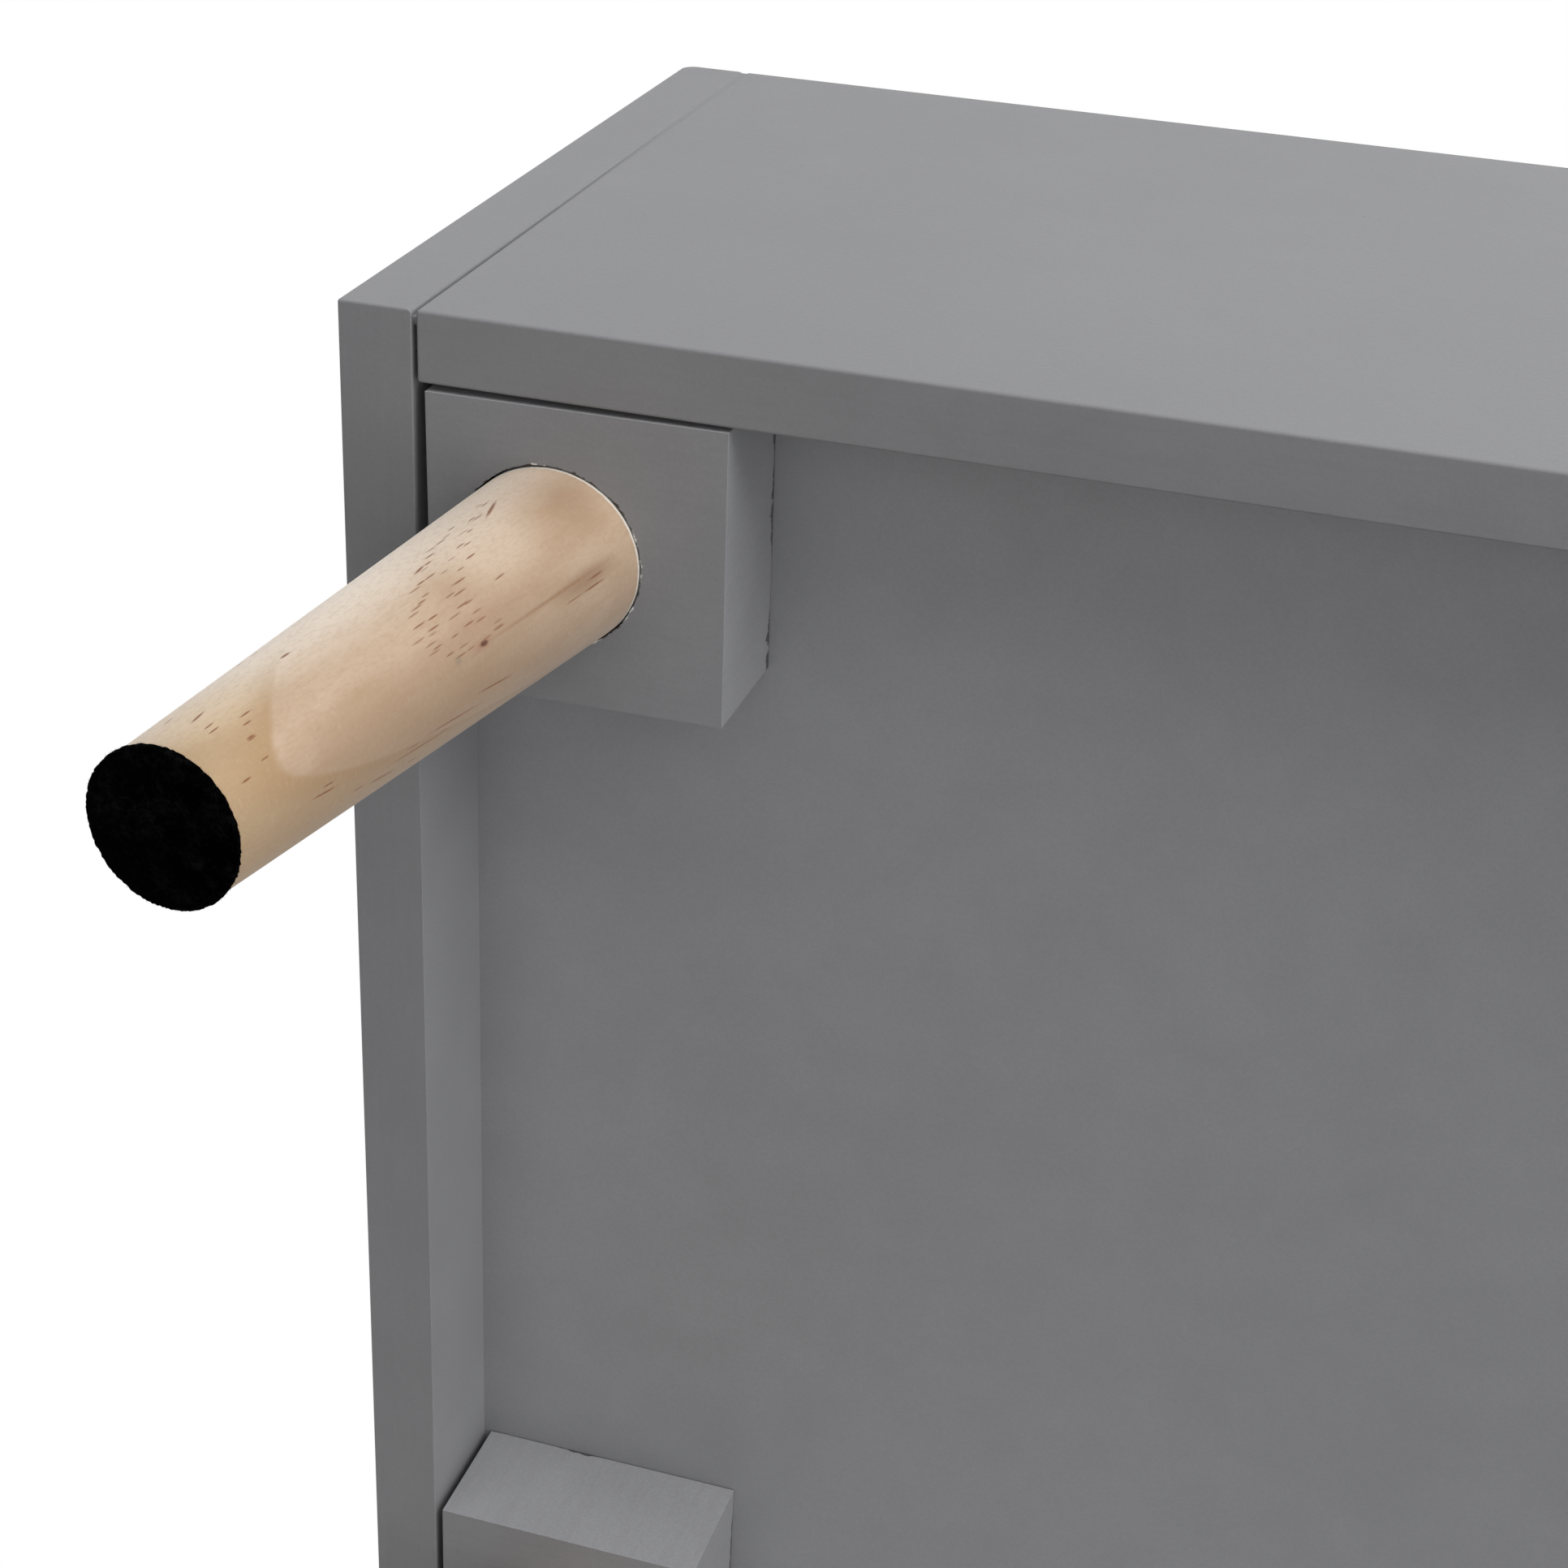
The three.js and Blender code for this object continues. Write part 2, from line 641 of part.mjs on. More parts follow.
// The pieces of one stay. A place on it is its distance from the end panel's inner face.
function lidStay(hand, side) {
  const stay = new THREE.Group();
  const { pivot, stud } = stayLayout();
  const span = (a, b) => [side * (innerX - a), side * (innerX - b)].sort((p, q) => p - q);
  const plateIn = seatGap + stayMetal;
  const armIn = armFromWall + stayMetal;
  const headFrom = armIn + studHeadGap;
  const earFrom = armIn + stayRunGap;
  const earIn = earFrom + stayMetal;

  const plateHalf = studPlateWidth / 2;
  const plateReach = studPlateHeight / 2;
  const plate = join([
    extrudeX(roundEndedStrip(
      new THREE.Vector2(stud.x, stud.y - plateReach + plateHalf),
      new THREE.Vector2(stud.x, stud.y + plateReach - plateHalf),
      plateHalf,
    ), ...span(seatGap, plateIn)),
    rodX(studRadius, ...span(plateIn - 1, headFrom + 1), stud.x, stud.y),
    rodX(studHeadRadius, ...span(headFrom, headFrom + studHeadThickness), stud.x, stud.y, 20),
  ]);
  const screwHoles = [-1, 1].map((way) => rodX(
    stayScrewRadius,
    ...span(0, plateIn + 1),
    stud.x,
    stud.y + way * (plateReach - studPlateScrewInset),
    10,
  ));
  stay.add(piece(`${hand}_stay_stud_plate`, cut(plate, screwHoles), zinc));
  stay.add(piece(`${hand}_stay_arm`, stayArmForm(...span(armFromWall, armIn)), zinc));

  const plateEnd = side * (innerX - earFrom - bracketWidth);
  stay.add(piece(`${hand}_stay_lid_bracket`, stayBracketForm(...span(earFrom, earIn), plateEnd), zinc));

  const rivet = join([
    rodX(pivotRadius, ...span(armFromWall - seatGap - 1, earIn + seatGap + 1), pivot.x, pivot.y),
    rodX(
      pivotHeadRadius,
      ...span(armFromWall - seatGap - pivotHeadThickness, armFromWall - seatGap),
      pivot.x,
      pivot.y,
    ),
    rodX(
      pivotHeadRadius,
      ...span(earIn + seatGap, earIn + seatGap + pivotHeadThickness),
      pivot.x,
      pivot.y,
    ),
  ]);
  stay.add(piece(`${hand}_stay_pivot_rivet`, rivet, zinc));
  return stay;
}

// A tapered pine leg about Z, the mouth of its socket at z = 0, bored for the leg bolt.
function legForm() {
  const top = socketDepth - seatGap;
  const bore = boltRadius + boltClearance;
  return turned([
    [0, -legReach],
    [legEndRadius - legEndRound, -legReach],
    [legEndRadius, -legReach + legEndRound],
    [legMouthRadius, 0],
    [legMouthRadius, top - legTopChamfer],
    [legMouthRadius - legTopChamfer, top],
    [bore, top],
    [bore, top - boltInLeg - seatGap],
    [0, top - boltInLeg - seatGap],
  ], 32);
}

// The felt pad under a leg, in the leg's frame, pressed flat where it meets the floor.
function padForm(lean) {
  const top = -legReach - seatGap;
  const disc = rodZ(padRadius, top - padThickness, top, 0, 0, 32);
  const wide = 3 * padRadius;
  const ground = block(-wide, wide, -wide, wide, -padRadius, 0);
  ground.translate(0, 0, -edgeZ).rotateY(-lean);
  return cut(disc, [ground]);
}

// The leg bolt about Z: wood thread in the leg, machine thread in the insert.
function legBoltForm() {
  const seam = socketDepth - seatGap;
  return turned([
    [0, seam - boltInLeg],
    [boltTipRadius, seam - boltInLeg],
    [boltRadius, seam - boltInLeg + boltRadius],
    [boltRadius, seam + boltInBlock - boltChamfer],
    [boltRadius - boltChamfer, seam + boltInBlock],
    [0, seam + boltInBlock],
  ], 12);
}

// The threaded insert at the bottom of the socket, a flanged bush about Z.
function insertForm() {
  const flangeTop = socketDepth + seatGap + insertFlangeThickness;
  const top = socketDepth + seatGap + insertLength;
  const bore = boltRadius + boltClearance;
  return turned([
    [bore, socketDepth + seatGap],
    [insertFlangeRadius, socketDepth + seatGap],
    [insertFlangeRadius, flangeTop],
    [insertRadius, flangeTop],
    [insertRadius, top],
    [bore, top],
    [bore, socketDepth + seatGap],
  ], 12);
}

// A corner block around the mouth of its socket at the origin, bored along the leaning leg.
function blockForm(side, lean) {
  const middle = -side * socketOffset;
  const half = blockSize / 2;
  const height = bottomRecess - seatGap;
  const body = easedBoard(middle - half, middle + half, -half, half, 0, height, blockRound);
  const flangeTop = socketDepth + 2 * seatGap + insertFlangeThickness;
  const insertTop = socketDepth + 2 * seatGap + insertLength;
  return cut(body, [
    rodZ(legMouthRadius + socketClearance, -socketDepth, socketDepth, 0, 0, 32).rotateY(lean),
    rodZ(insertFlangeRadius + seatGap, socketDepth - 1, flangeTop, 0, 0, 12).rotateY(lean),
    rodZ(insertRadius + seatGap, socketDepth, insertTop, 0, 0, 12).rotateY(lean),
  ]);
}

// One corner of the chest: the block, and the leg with its bolt, insert and felt in a leaning group.
function legCorner(row, hand, side) {
  const corner = new THREE.Group();
  const lean = -side * splay;
  const blockX = innerX - blockGapEnd - blockSize / 2;
  const frontBlockY = frontInnerY + blockGapFront + blockSize / 2;
  const backBlockY = backInnerY - blockGapFront - blockSize / 2;
  const y = row === 'front' ? frontBlockY : backBlockY;
  corner.position.set(side * (blockX + socketOffset), y, edgeZ);
  corner.add(piece(`${row}_${hand}_leg_block`, blockForm(side, lean), paint));

  const leaning = new THREE.Group();
  leaning.rotation.y = lean;
  leaning.add(piece(`${row}_${hand}_leg`, legForm(), pine));
  leaning.add(piece(`${row}_${hand}_leg_bolt`, legBoltForm(), zinc));
  leaning.add(piece(`${row}_${hand}_leg_insert`, insertForm(), zinc));
  leaning.add(piece(`${row}_${hand}_felt_pad`, padForm(lean), felt));
  corner.add(leaning);
  return corner;
}

const chest = new THREE.Group();
chest.add(frontPanel());
chest.add(backPanel());
chest.add(endPanel('left_end_panel', -1));
chest.add(endPanel('right_end_panel', 1));
chest.add(bottomBoard());
chest.add(cornerFittings());
chest.add(lid());
chest.add(lidBumpers());
chest.add(hinges());
for (const [hand, side] of [['left', -1], ['right', 1]]) {
  chest.add(lidStay(hand, side));
  chest.add(legCorner('front', hand, side));
  chest.add(legCorner('back', hand, side));
}

export default chest;
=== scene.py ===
"""The looks of the painted toy chest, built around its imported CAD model. Metres, +Z up."""

import math
import random

import bmesh
import bpy
from mathutils import Matrix, Vector


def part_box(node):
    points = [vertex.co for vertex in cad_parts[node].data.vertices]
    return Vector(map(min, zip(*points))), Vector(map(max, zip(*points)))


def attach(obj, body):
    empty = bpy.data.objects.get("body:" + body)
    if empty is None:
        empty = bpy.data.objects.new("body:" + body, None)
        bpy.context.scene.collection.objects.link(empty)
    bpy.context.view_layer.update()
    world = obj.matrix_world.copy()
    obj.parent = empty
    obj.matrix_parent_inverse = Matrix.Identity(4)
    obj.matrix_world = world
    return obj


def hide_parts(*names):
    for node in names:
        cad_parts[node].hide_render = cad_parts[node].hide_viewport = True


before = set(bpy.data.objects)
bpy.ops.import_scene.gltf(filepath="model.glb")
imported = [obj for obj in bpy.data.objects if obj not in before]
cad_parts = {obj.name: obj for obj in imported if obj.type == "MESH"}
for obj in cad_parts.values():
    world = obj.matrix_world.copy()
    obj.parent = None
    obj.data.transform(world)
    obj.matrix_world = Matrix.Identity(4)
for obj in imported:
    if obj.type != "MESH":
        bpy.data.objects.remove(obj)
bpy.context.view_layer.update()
mm = 0.001


# The photographer's stand.
# The camera is low in front of the left end and looks up under the chest, as in the photograph.
scene = bpy.context.scene
scene.view_settings.view_transform = "Standard"
camera_data = bpy.data.cameras.new("camera")
camera_data.sensor_width = 36
camera_data.lens = 66.62
camera = bpy.data.objects.new("camera", camera_data)
scene.collection.objects.link(camera)
scene.camera = camera
camera_place = Vector((-0.16533, -0.45581, -0.44786))
picture_right = Vector((0.95405, -0.03953, 0.29703))
picture_down = Vector((0.17057, 0.88665, -0.42984))
looking = Vector((-0.24636, 0.46076, 0.85265))
turned = Matrix((picture_right, -picture_down, -looking)).transposed()
camera.matrix_world = Matrix.Translation(camera_place) @ turned.to_4x4()


# The studio: a pale round floor that fades into a white room, and large soft lamps.
# From underneath the floor is clear, because the photograph looks up from there.
class Signal:
    """One output of a shader node. Sums of signals add their own Math nodes."""

    def __init__(self, recipe, socket):
        self.recipe = recipe
        self.socket = socket

    def maths(self, operation, first, second):
        return self.recipe.add("Math", {"operation": operation}, {0: first, 1: second})

    def __add__(self, other):
        return self.maths("ADD", self, other)

    def __radd__(self, other):
        return self.maths("ADD", other, self)

    def __sub__(self, other):
        return self.maths("SUBTRACT", self, other)

    def __rsub__(self, other):
        return self.maths("SUBTRACT", other, self)

    def __mul__(self, other):
        return self.maths("MULTIPLY", self, other)

    def __truediv__(self, other):
        return self.maths("DIVIDE", self, other)

    def __gt__(self, other):
        return self.maths("GREATER_THAN", self, other)

    def __lt__(self, other):
        return self.maths("LESS_THAN", self, other)

    def larger(self, other):
        return self.maths("MAXIMUM", self, other)

    def smaller(self, other):
        return self.maths("MINIMUM", self, other)


class Recipe:
    """The shader nodes of one finish."""

    def __init__(self, owner):
        owner.use_nodes = True
        self.owner = owner
        self.tree = owner.node_tree
        self.tree.nodes.clear()

    def add(self, kind, settings=None, inputs=None, output=0):
        node = self.tree.nodes.new("ShaderNode" + kind)
        for name, value in (settings or {}).items():
            setattr(node, name, value)
        for name, value in (inputs or {}).items():
            if isinstance(value, Signal):
                self.tree.links.new(value.socket, node.inputs[name])
            else:
                node.inputs[name].default_value = value
        return Signal(self, node.outputs[output]) if len(node.outputs) else None

    def blend(self, share, first, second):
        return self.add("Mix", {"data_type": "RGBA"}, {0: share, 6: first, 7: second}, 2)

    def rise(self, signal, start, end):
        settings = {"interpolation_type": "SMOOTHSTEP"}
        return self.add("MapRange", settings, {0: signal, 1: start, 2: end})

    def several(self, kind, settings, inputs, names):
        """The named outputs of one node."""
        node = self.add(kind, settings, inputs).socket.node
        return [Signal(self, node.outputs[name]) for name in names]

    def split(self, place):
        return self.several("SeparateXYZ", None, {0: place}, "XYZ")

    def length(self, place):
        return self.add("VectorMath", {"operation": "LENGTH"}, {0: place}, "Value")

    def noise(self, place, scale, detail=2, roughness=0.5, twist=0):
        values = {"Vector": place, "Scale": scale, "Detail": detail, "Roughness": roughness}
        return self.add("TexNoise", None, {**values, "Distortion": twist})

    def moved(self, place, location=(0, 0, 0), rotation=(0, 0, 0), scale=(1, 1, 1), kind="POINT"):
        values = {"Vector": place, "Location": location, "Rotation": rotation, "Scale": scale}
        return self.add("Mapping", {"vector_type": kind}, values)

    def bump(self, height, depth, normal=None):
        values = {"Height": height, "Distance": depth}
        if normal:
            values["Normal"] = normal
        return self.add("Bump", None, values)

    def surface(self, values):
        """Ends the recipe and returns the material."""
        shader = self.add("BsdfPrincipled", None, values)
        self.add("OutputMaterial", None, {"Surface": shader})
        return self.owner


def object_place(recipe):
    return recipe.add("TexCoord", output="Object")


def white_rays(recipe):
    """1 for the rays that see the room as it looks, and 0 for those that only light the chest."""
    kinds = ("Camera", "Glossy", "Transmission")
    seen, mirrored, passed = (recipe.add("LightPath", output=f"Is {kind} Ray") for kind in kinds)
    return seen.larger(mirrored).larger(passed)


room_light = 0.05
white = (1, 1, 1, 1)
room = bpy.data.worlds.new("white_room")
scene.world = room
air = Recipe(room)
room_level = room_light + white_rays(air) * (1 - room_light)
sky = air.add("Background", None, {"Color": white, "Strength": room_level})
air.add("OutputWorld", None, {"Surface": sky})

floor_radius = 6.0
floor_sides = 96
floor_fade = (1.3, 3.6)
floor_colour = (0.84, 0.84, 0.84, 1)
floor_sheet = bpy.data.materials.new("pale_floor")
sheet = Recipe(floor_sheet)
reach = sheet.length(object_place(sheet))
far = sheet.rise(reach, *floor_fade) * white_rays(sheet)
matt = sheet.add("BsdfDiffuse", None, {"Color": floor_colour})
glow = sheet.add("Emission", None, {"Color": white, "Strength": 1.0})
topside = sheet.add("MixShader", None, {0: far, 1: matt, 2: glow})
under = sheet.add("NewGeometry", output="Backfacing")
shadow = sheet.add("LightPath", output="Is Shadow Ray")
clear = sheet.add("BsdfTransparent")
both = sheet.add("MixShader", None, {0: under.larger(shadow), 1: topside, 2: clear})
sheet.add("OutputMaterial", None, {"Surface": both})

bm = bmesh.new()
bmesh.ops.create_circle(bm, cap_ends=True, segments=floor_sides, radius=floor_radius)
floor_mesh = bpy.data.meshes.new("floor")
bm.to_mesh(floor_mesh)
bm.free()
floor = bpy.data.objects.new("floor", floor_mesh)
floor.data.materials.append(floor_sheet)
floor.visible_diffuse = False
scene.collection.objects.link(floor)

chest_middle = Vector((0, 0, 0.28))


def softbox(name, place, size, watts):
    """A square soft lamp that looks at the middle of the chest and is not seen itself."""
    lamp = bpy.data.lights.new(name, "AREA")
    lamp.size = size
    lamp.energy = watts
    holder = bpy.data.objects.new(name, lamp)
    holder.location = place
    holder.rotation_mode = "QUATERNION"
    holder.rotation_quaternion = (chest_middle - Vector(place)).to_track_quat("-Z", "Y")
    holder.visible_camera = False
    holder.visible_glossy = False
    scene.collection.objects.link(holder)


softbox("camera_side_lamp", (-0.5, -4.3, -0.75), 3.4, 86)
softbox("front_right_lamp", (2.6, -3.2, -0.9), 2.6, 124)
softbox("lamp_below", (0.3, -0.2, -3.1), 4.4, 61)
softbox("lamp_below_right", (2.6, -0.3, -1.5), 2.6, 39)
softbox("top_lamp", (0.3, -0.3, 3.2), 2.4, 66)
softbox("left_lamp", (-3.0, 0.7, 1.2), 2.0, 40)
softbox("right_lamp", (3.0, 0.7, 1.2), 2.0, 22)
softbox("back_lamp", (-0.4, 3.1, 1.2), 2.0, 74)


# Front panel: a plain painted board between the end panels, with a shallow finger scoop in its
# top edge and a groove along the inside that houses the bottom board. Sprayed satin grey.
seat = 0.05 * mm
near = 0.1 * mm
tiny = 0.001 * mm
plane_slack = 1e-7
square_on = 0.9
bore_margin = 1.5 * mm
bore_sides = 48
front_gap = 1.3 * mm
board_round = 0.8 * mm
panel_end_round = 0.9 * mm
end_seam_round = 1.6 * mm
paint_deep = 0.205
paint_pale = 0.225
paint_tint = (1.0, 1.005, 1.045)


def grey_paint(name, painted_light_lift, grain=None, wear_and_shade=None):
    """Satin grey paint with orange peel, soft cloudiness and a few nibs of dust. The lift makes
    lighter and darker copies of it as painted light and shade; below 1 it is painted shade on
    edges and end grain, whose grain shows through."""
    coat = Recipe(bpy.data.materials.new(name))
    deep, pale = ((*(level * painted_light_lift * part for part in paint_tint), 1) for level in (paint_deep, paint_pale))
    dust = (0.07, 0.07, 0.072, 1)
    place = object_place(coat)
    clouds = coat.noise(place, 7, 3, 0.55)
    patches = coat.noise(place, 45, 3, 0.6)
    peel = coat.noise(place, 620, 2, 0.5)
    fine = coat.noise(place, 1500, 2, 0.6)
    seeds = {"Vector": place, "Scale": 34, "Randomness": 1}
    nearest, cell = coat.several("TexVoronoi", None, seeds, ("Distance", "Color"))
    chosen = coat.add("SeparateColor", None, {0: cell}, 0) > 0.86
    nib = (nearest < 0.016) * chosen
    tone = coat.rise(clouds * 0.5 + patches * 0.5, 0.3, 0.7)
    colour = coat.blend(tone, deep, pale)
    colour = coat.blend(coat.rise(fine, 0.3, 0.7) * 0.14, colour, (0.11, 0.11, 0.113, 1))
    height = peel * 0.8 + fine * 0.2 + nib * 1.5
    if grain:
        lines = coat.noise(coat.moved(place, scale=grain), 420, 4, 0.7)
        colour = coat.blend(coat.rise(lines, 0.42, 0.7) * 0.08, colour, (0.1, 0.1, 0.103, 1))
        height = height - lines * 0.6
    colour = coat.blend(nib * 0.45, colour, dust)
    if wear_and_shade:
        colour = wear_and_shade(coat, place, colour)
    rough = 0.46 + (patches - 0.5) * 0.16 + (peel - 0.5) * 0.05
    soft = coat.bump(clouds, 0.5 * mm)
    skin = coat.bump(height, 0.045 * mm, soft)
    return coat.surface({"Base Color": colour, "Roughness": rough, "Normal": skin})


def box_between(low, high):
    """A square-cornered bmesh box between two corners."""
    bm = bmesh.new()
    place = Matrix.Translation((low + high) / 2) @ Matrix.Diagonal((*(high - low), 1))
    bmesh.ops.create_cube(bm, size=1, matrix=place)
    return bm


def ring_of(bm, points):
    """Joins points into one closed line of edges."""
    verts = [bm.verts.new(point) for point in points]
    return [bm.edges.new(pair) for pair in zip(verts, verts[1:] + verts[:1])]


def middle_of(edge):
    return (edge.verts[0].co + edge.verts[1].co) / 2


def verts_in(parts):
    return [part for part in parts if isinstance(part, bmesh.types.BMVert)]


def edges_in(parts):
    return [part for part in parts if isinstance(part, bmesh.types.BMEdge)]


def weld(bm):
    bmesh.ops.remove_doubles(bm, verts=bm.verts[:], dist=tiny)


def carry(bm, matrix):
    """Moves a whole bmesh and updates its normals, which BMesh.transform would leave as they were."""
    bmesh.ops.transform(bm, matrix=matrix, verts=bm.verts[:])


def fill(bm, edges):
    """Covers the area between closed lines of edges with triangles."""
    bmesh.ops.triangle_fill(bm, use_beauty=True, use_dissolve=False, edges=edges)


def cut_across(bm, place, normal, clear_outer=False):
    """Cuts every face along a plane and returns the new edges."""
    parts = bm.verts[:] + bm.edges[:] + bm.faces[:]
    return edges_in(bmesh.ops.bisect_plane(
        bm, geom=parts, dist=plane_slack, plane_co=place, plane_no=normal, clear_outer=clear_outer,
    )["geom_cut"])


def slice_at(bm, axis, level):
    """Cuts every face along the plane where one coordinate has this level."""
    normal = Vector((axis == 0, axis == 1, axis == 2))
    cut_across(bm, normal * level, normal)


def pull(bm, edges, shift):
    """Draws a closed line of edges out into walls, caps them and returns the cap's corners."""
    grown = bmesh.ops.extrude_edge_only(bm, edges=edges)["geom"]
    moved = verts_in(grown)
    bmesh.ops.translate(bm, vec=shift, verts=moved)
    bmesh.ops.contextual_create(bm, geom=edges_in(grown))
    return moved


def notch(bm, low, high, mouth):
    """Sinks a square notch between two corners, entered from the side that mouth points out of."""
    for axis in range(3):
        slice_at(bm, axis, low[axis])
        slice_at(bm, axis, high[axis])
    same_place = 0.005 * mm
    bm.normal_update()

    def inside(face):
        middle = face.calc_center_median()
        return all(low[i] - tiny < middle[i] < high[i] + tiny for i in range(3))

    opening = [face for face in bm.faces if inside(face) and face.normal.dot(mouth) > square_on]
    grown = bmesh.ops.extrude_face_region(bm, geom=opening)["geom"]
    depth = abs((high - low).dot(mouth))
    bmesh.ops.translate(bm, vec=-mouth * depth, verts=verts_in(grown))
    bmesh.ops.delete(bm, geom=[face for face in opening if face.is_valid], context="FACES")
    walls = {face: face.calc_center_median() for face in bm.faces if inside(face)}
    doubled = [
        face for face, middle in walls.items()
        if sum((middle - other).length < same_place for other in walls.values()) > 1
    ]
    bmesh.ops.delete(bm, geom=doubled, context="FACES")
    weld(bm)


def bore(bm, mouth, out, radius, depth):
    """Drills a round, flat-ended hole. out points out of its mouth, along Y."""
    half = radius + bore_margin
    for axis in (0, 2):
        slice_at(bm, axis, mouth[axis] - half)
        slice_at(bm, axis, mouth[axis] + half)
    bm.normal_update()
    window = [
        face for face in bm.faces
        if (face.calc_center_median() - mouth).length < near and face.normal.dot(out) > square_on
    ]
    bmesh.ops.delete(bm, geom=window, context="FACES")
    sides = [edge for edge in bm.edges if edge.is_boundary]
    angles = [2 * math.pi * step / bore_sides for step in range(bore_sides)]
    ring = ring_of(bm, [mouth + Vector((math.cos(t), 0, math.sin(t))) * radius for t in angles])
    fill(bm, sides + ring)
    pull(bm, ring, -out * depth)


def make_piece(name, bm, body, finishes, replaced=(), eased=None, widest=None, steps=None):
    """Turns a bmesh into a piece. eased gives the radius of each outward corner, up to the widest."""
    bmesh.ops.recalc_face_normals(bm, faces=bm.faces[:])
    bm.normal_update()
    sharp = math.radians(28)
    weight = bm.edges.layers.float.new("bevel_weight_edge")
    for edge in bm.edges:
        corner = edge.calc_face_angle_signed(0)
        edge.smooth = abs(corner) < sharp
        if eased and corner > sharp:
            edge[weight] = eased(edge) / widest
            edge.smooth = edge.smooth or edge[weight] > 0
    for face in bm.faces:
        face.smooth = True
    mesh = bpy.data.meshes.new(name)
    bm.to_mesh(mesh)
    bm.free()
    piece = bpy.data.objects.new(name, mesh)
    scene.collection.objects.link(piece)
    for finish in finishes:
        mesh.materials.append(finish)
    if eased:
        rounding = piece.modifiers.new("eased corners", "BEVEL")
        rounding.limit_method = "WEIGHT"
        rounding.width = widest
        rounding.segments = steps
        rounding.use_clamp_overlap = False
        shading = piece.modifiers.new("flat faces stay flat", "WEIGHTED_NORMAL")
        shading.keep_sharp = True
    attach(piece, body)
    if replaced:
        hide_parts(*replaced)


face_paint = grey_paint("grey_paint", 1.0)
# The face paint, and a darker copy of it for the edges that is painted shade.
shaded_long_edge_paint = grey_paint("grey_paint_on_long_edges_painted_darker", 0.81, (0.07, 1, 1))
paints = [face_paint, shaded_long_edge_paint]


def paint_edges(bm):
    """Gives the edge paint, a darker copy that is painted shade, to the faces that look straight up or
    down.
    """
    bm.normal_update()
    for face in bm.faces:
        face.material_index = int(abs(face.normal.z) > square_on)


board_low, board_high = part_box("bottom_board")
front_low, front_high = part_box("front_panel")
left_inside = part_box("left_end_panel")[1].x
right_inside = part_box("right_end_panel")[0].x
front_low.x = left_inside + front_gap
front_high.x = right_inside - front_gap
panel_top = front_high.z
panel_foot = front_low.z
scoop_half = 75 * mm
scoop_depth = 22 * mm
scoop_flare = 18 * mm
scoop_steps = 7

hands = ((-1, "left"), (1, "right"))
corners = [(row, hand) for row in ("front", "back") for hand in ("left", "right")]
cam_clearance = 0.15 * mm
cam_boxes = [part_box(f"{row}_{hand}_cam") for row, hand in corners]
cam_radius = (cam_boxes[0][1].x - cam_boxes[0][0].x) / 2
cam_depth = cam_boxes[0][1].y - cam_boxes[0][0].y
cams = [(low + high) / 2 + Vector((0, math.copysign(cam_depth / 2, -low.y), 0)) for low, high in cam_boxes]


def board_arris(edge):
    """Rounds the outer edges of a board, more where it meets an end panel. Its groove and the
    bores for the cams stay sharp."""
    middle = middle_of(edge)
    if any((middle - cam).length < cam_radius + mm for cam in cams):
        return 0
    if board_low.z - mm < middle.z < board_high.z + mm and abs(middle.x) < front_high.x - near:
        return 0
    upright = abs(edge.verts[0].co.z - edge.verts[1].co.z) > mm
    return panel_end_round if upright and abs(middle.x) > front_high.x - near else board_round


front = box_between(front_low, front_high)
notch(
    front,
    Vector((front_low.x, board_low.y - seat, board_low.z - seat)),
    Vector((front_high.x, front_high.y, board_high.z + seat)),
    Vector((0, 1, 0)),
)
shoulder = [(scoop_half + scoop_flare, 0), (scoop_half, 0), (scoop_half - scoop_flare / 2, scoop_depth / 2)]
foot = [shoulder[2], (scoop_half - scoop_flare, scoop_depth), (scoop_half - 2 * scoop_flare, scoop_depth)]
drops = {}
for start, control, end in (shoulder, foot):
    for step in range(scoop_steps + 1):
        t = step / scoop_steps
        across, drop = (
            (1 - t) ** 2 * a + 2 * t * (1 - t) * b + t * t * c for a, b, c in zip(start, control, end)
        )
        drops[across] = drop
for across in drops:
    slice_at(front, 0, -across)
    slice_at(front, 0, across)
for vert in front.verts:
    if abs(vert.co.z - panel_top) < tiny:
        vert.co.z -= sum(drop for across, drop in drops.items() if abs(abs(vert.co.x) - across) < tiny)
for cam in cams[:2]:
    bore(front, cam, Vector((0, 1, 0)), cam_radius + cam_clearance, cam_depth + cam_clearance)
paint_edges(front)
make_piece(
    "front_board", front, "chest", paints, ["front_panel"], board_arris, panel_end_round, 4,
)

# Paint has bridged the front of the gap at each end of the panel. Behind it the gap is open.
bridge_setback = 0.8 * mm
bridge_thickness = 2.6 * mm
bridge_slack = 1.0 * mm
bridge_rise = 0.35 * mm
bridge_bite = 0.5 * mm
bridge_foot = 0.4 * mm
bridge_drop = 0.1 * mm
bridge_slope = 1.8
for side, hand in hands:
    reach = sorted((side * (front_high.x - seat), side * (front_high.x + front_gap + bridge_bite)))
    depth = front_low.y + bridge_setback
    bridge = box_between(
        Vector((reach[0], depth, panel_foot + bridge_foot)),
        Vector((reach[1], depth + bridge_thickness, panel_top - bridge_drop)),
    )
    for vert in bridge.verts:
        vert.co.y += bridge_slack if vert.co.z < panel_foot + mm else -bridge_rise
        if vert.co.z < panel_foot + mm and vert.co.y > depth + bridge_thickness:
            vert.co.z += bridge_slope * bridge_slack
    make_piece(f"{hand}_paint_bridge", bridge, "chest", [face_paint])


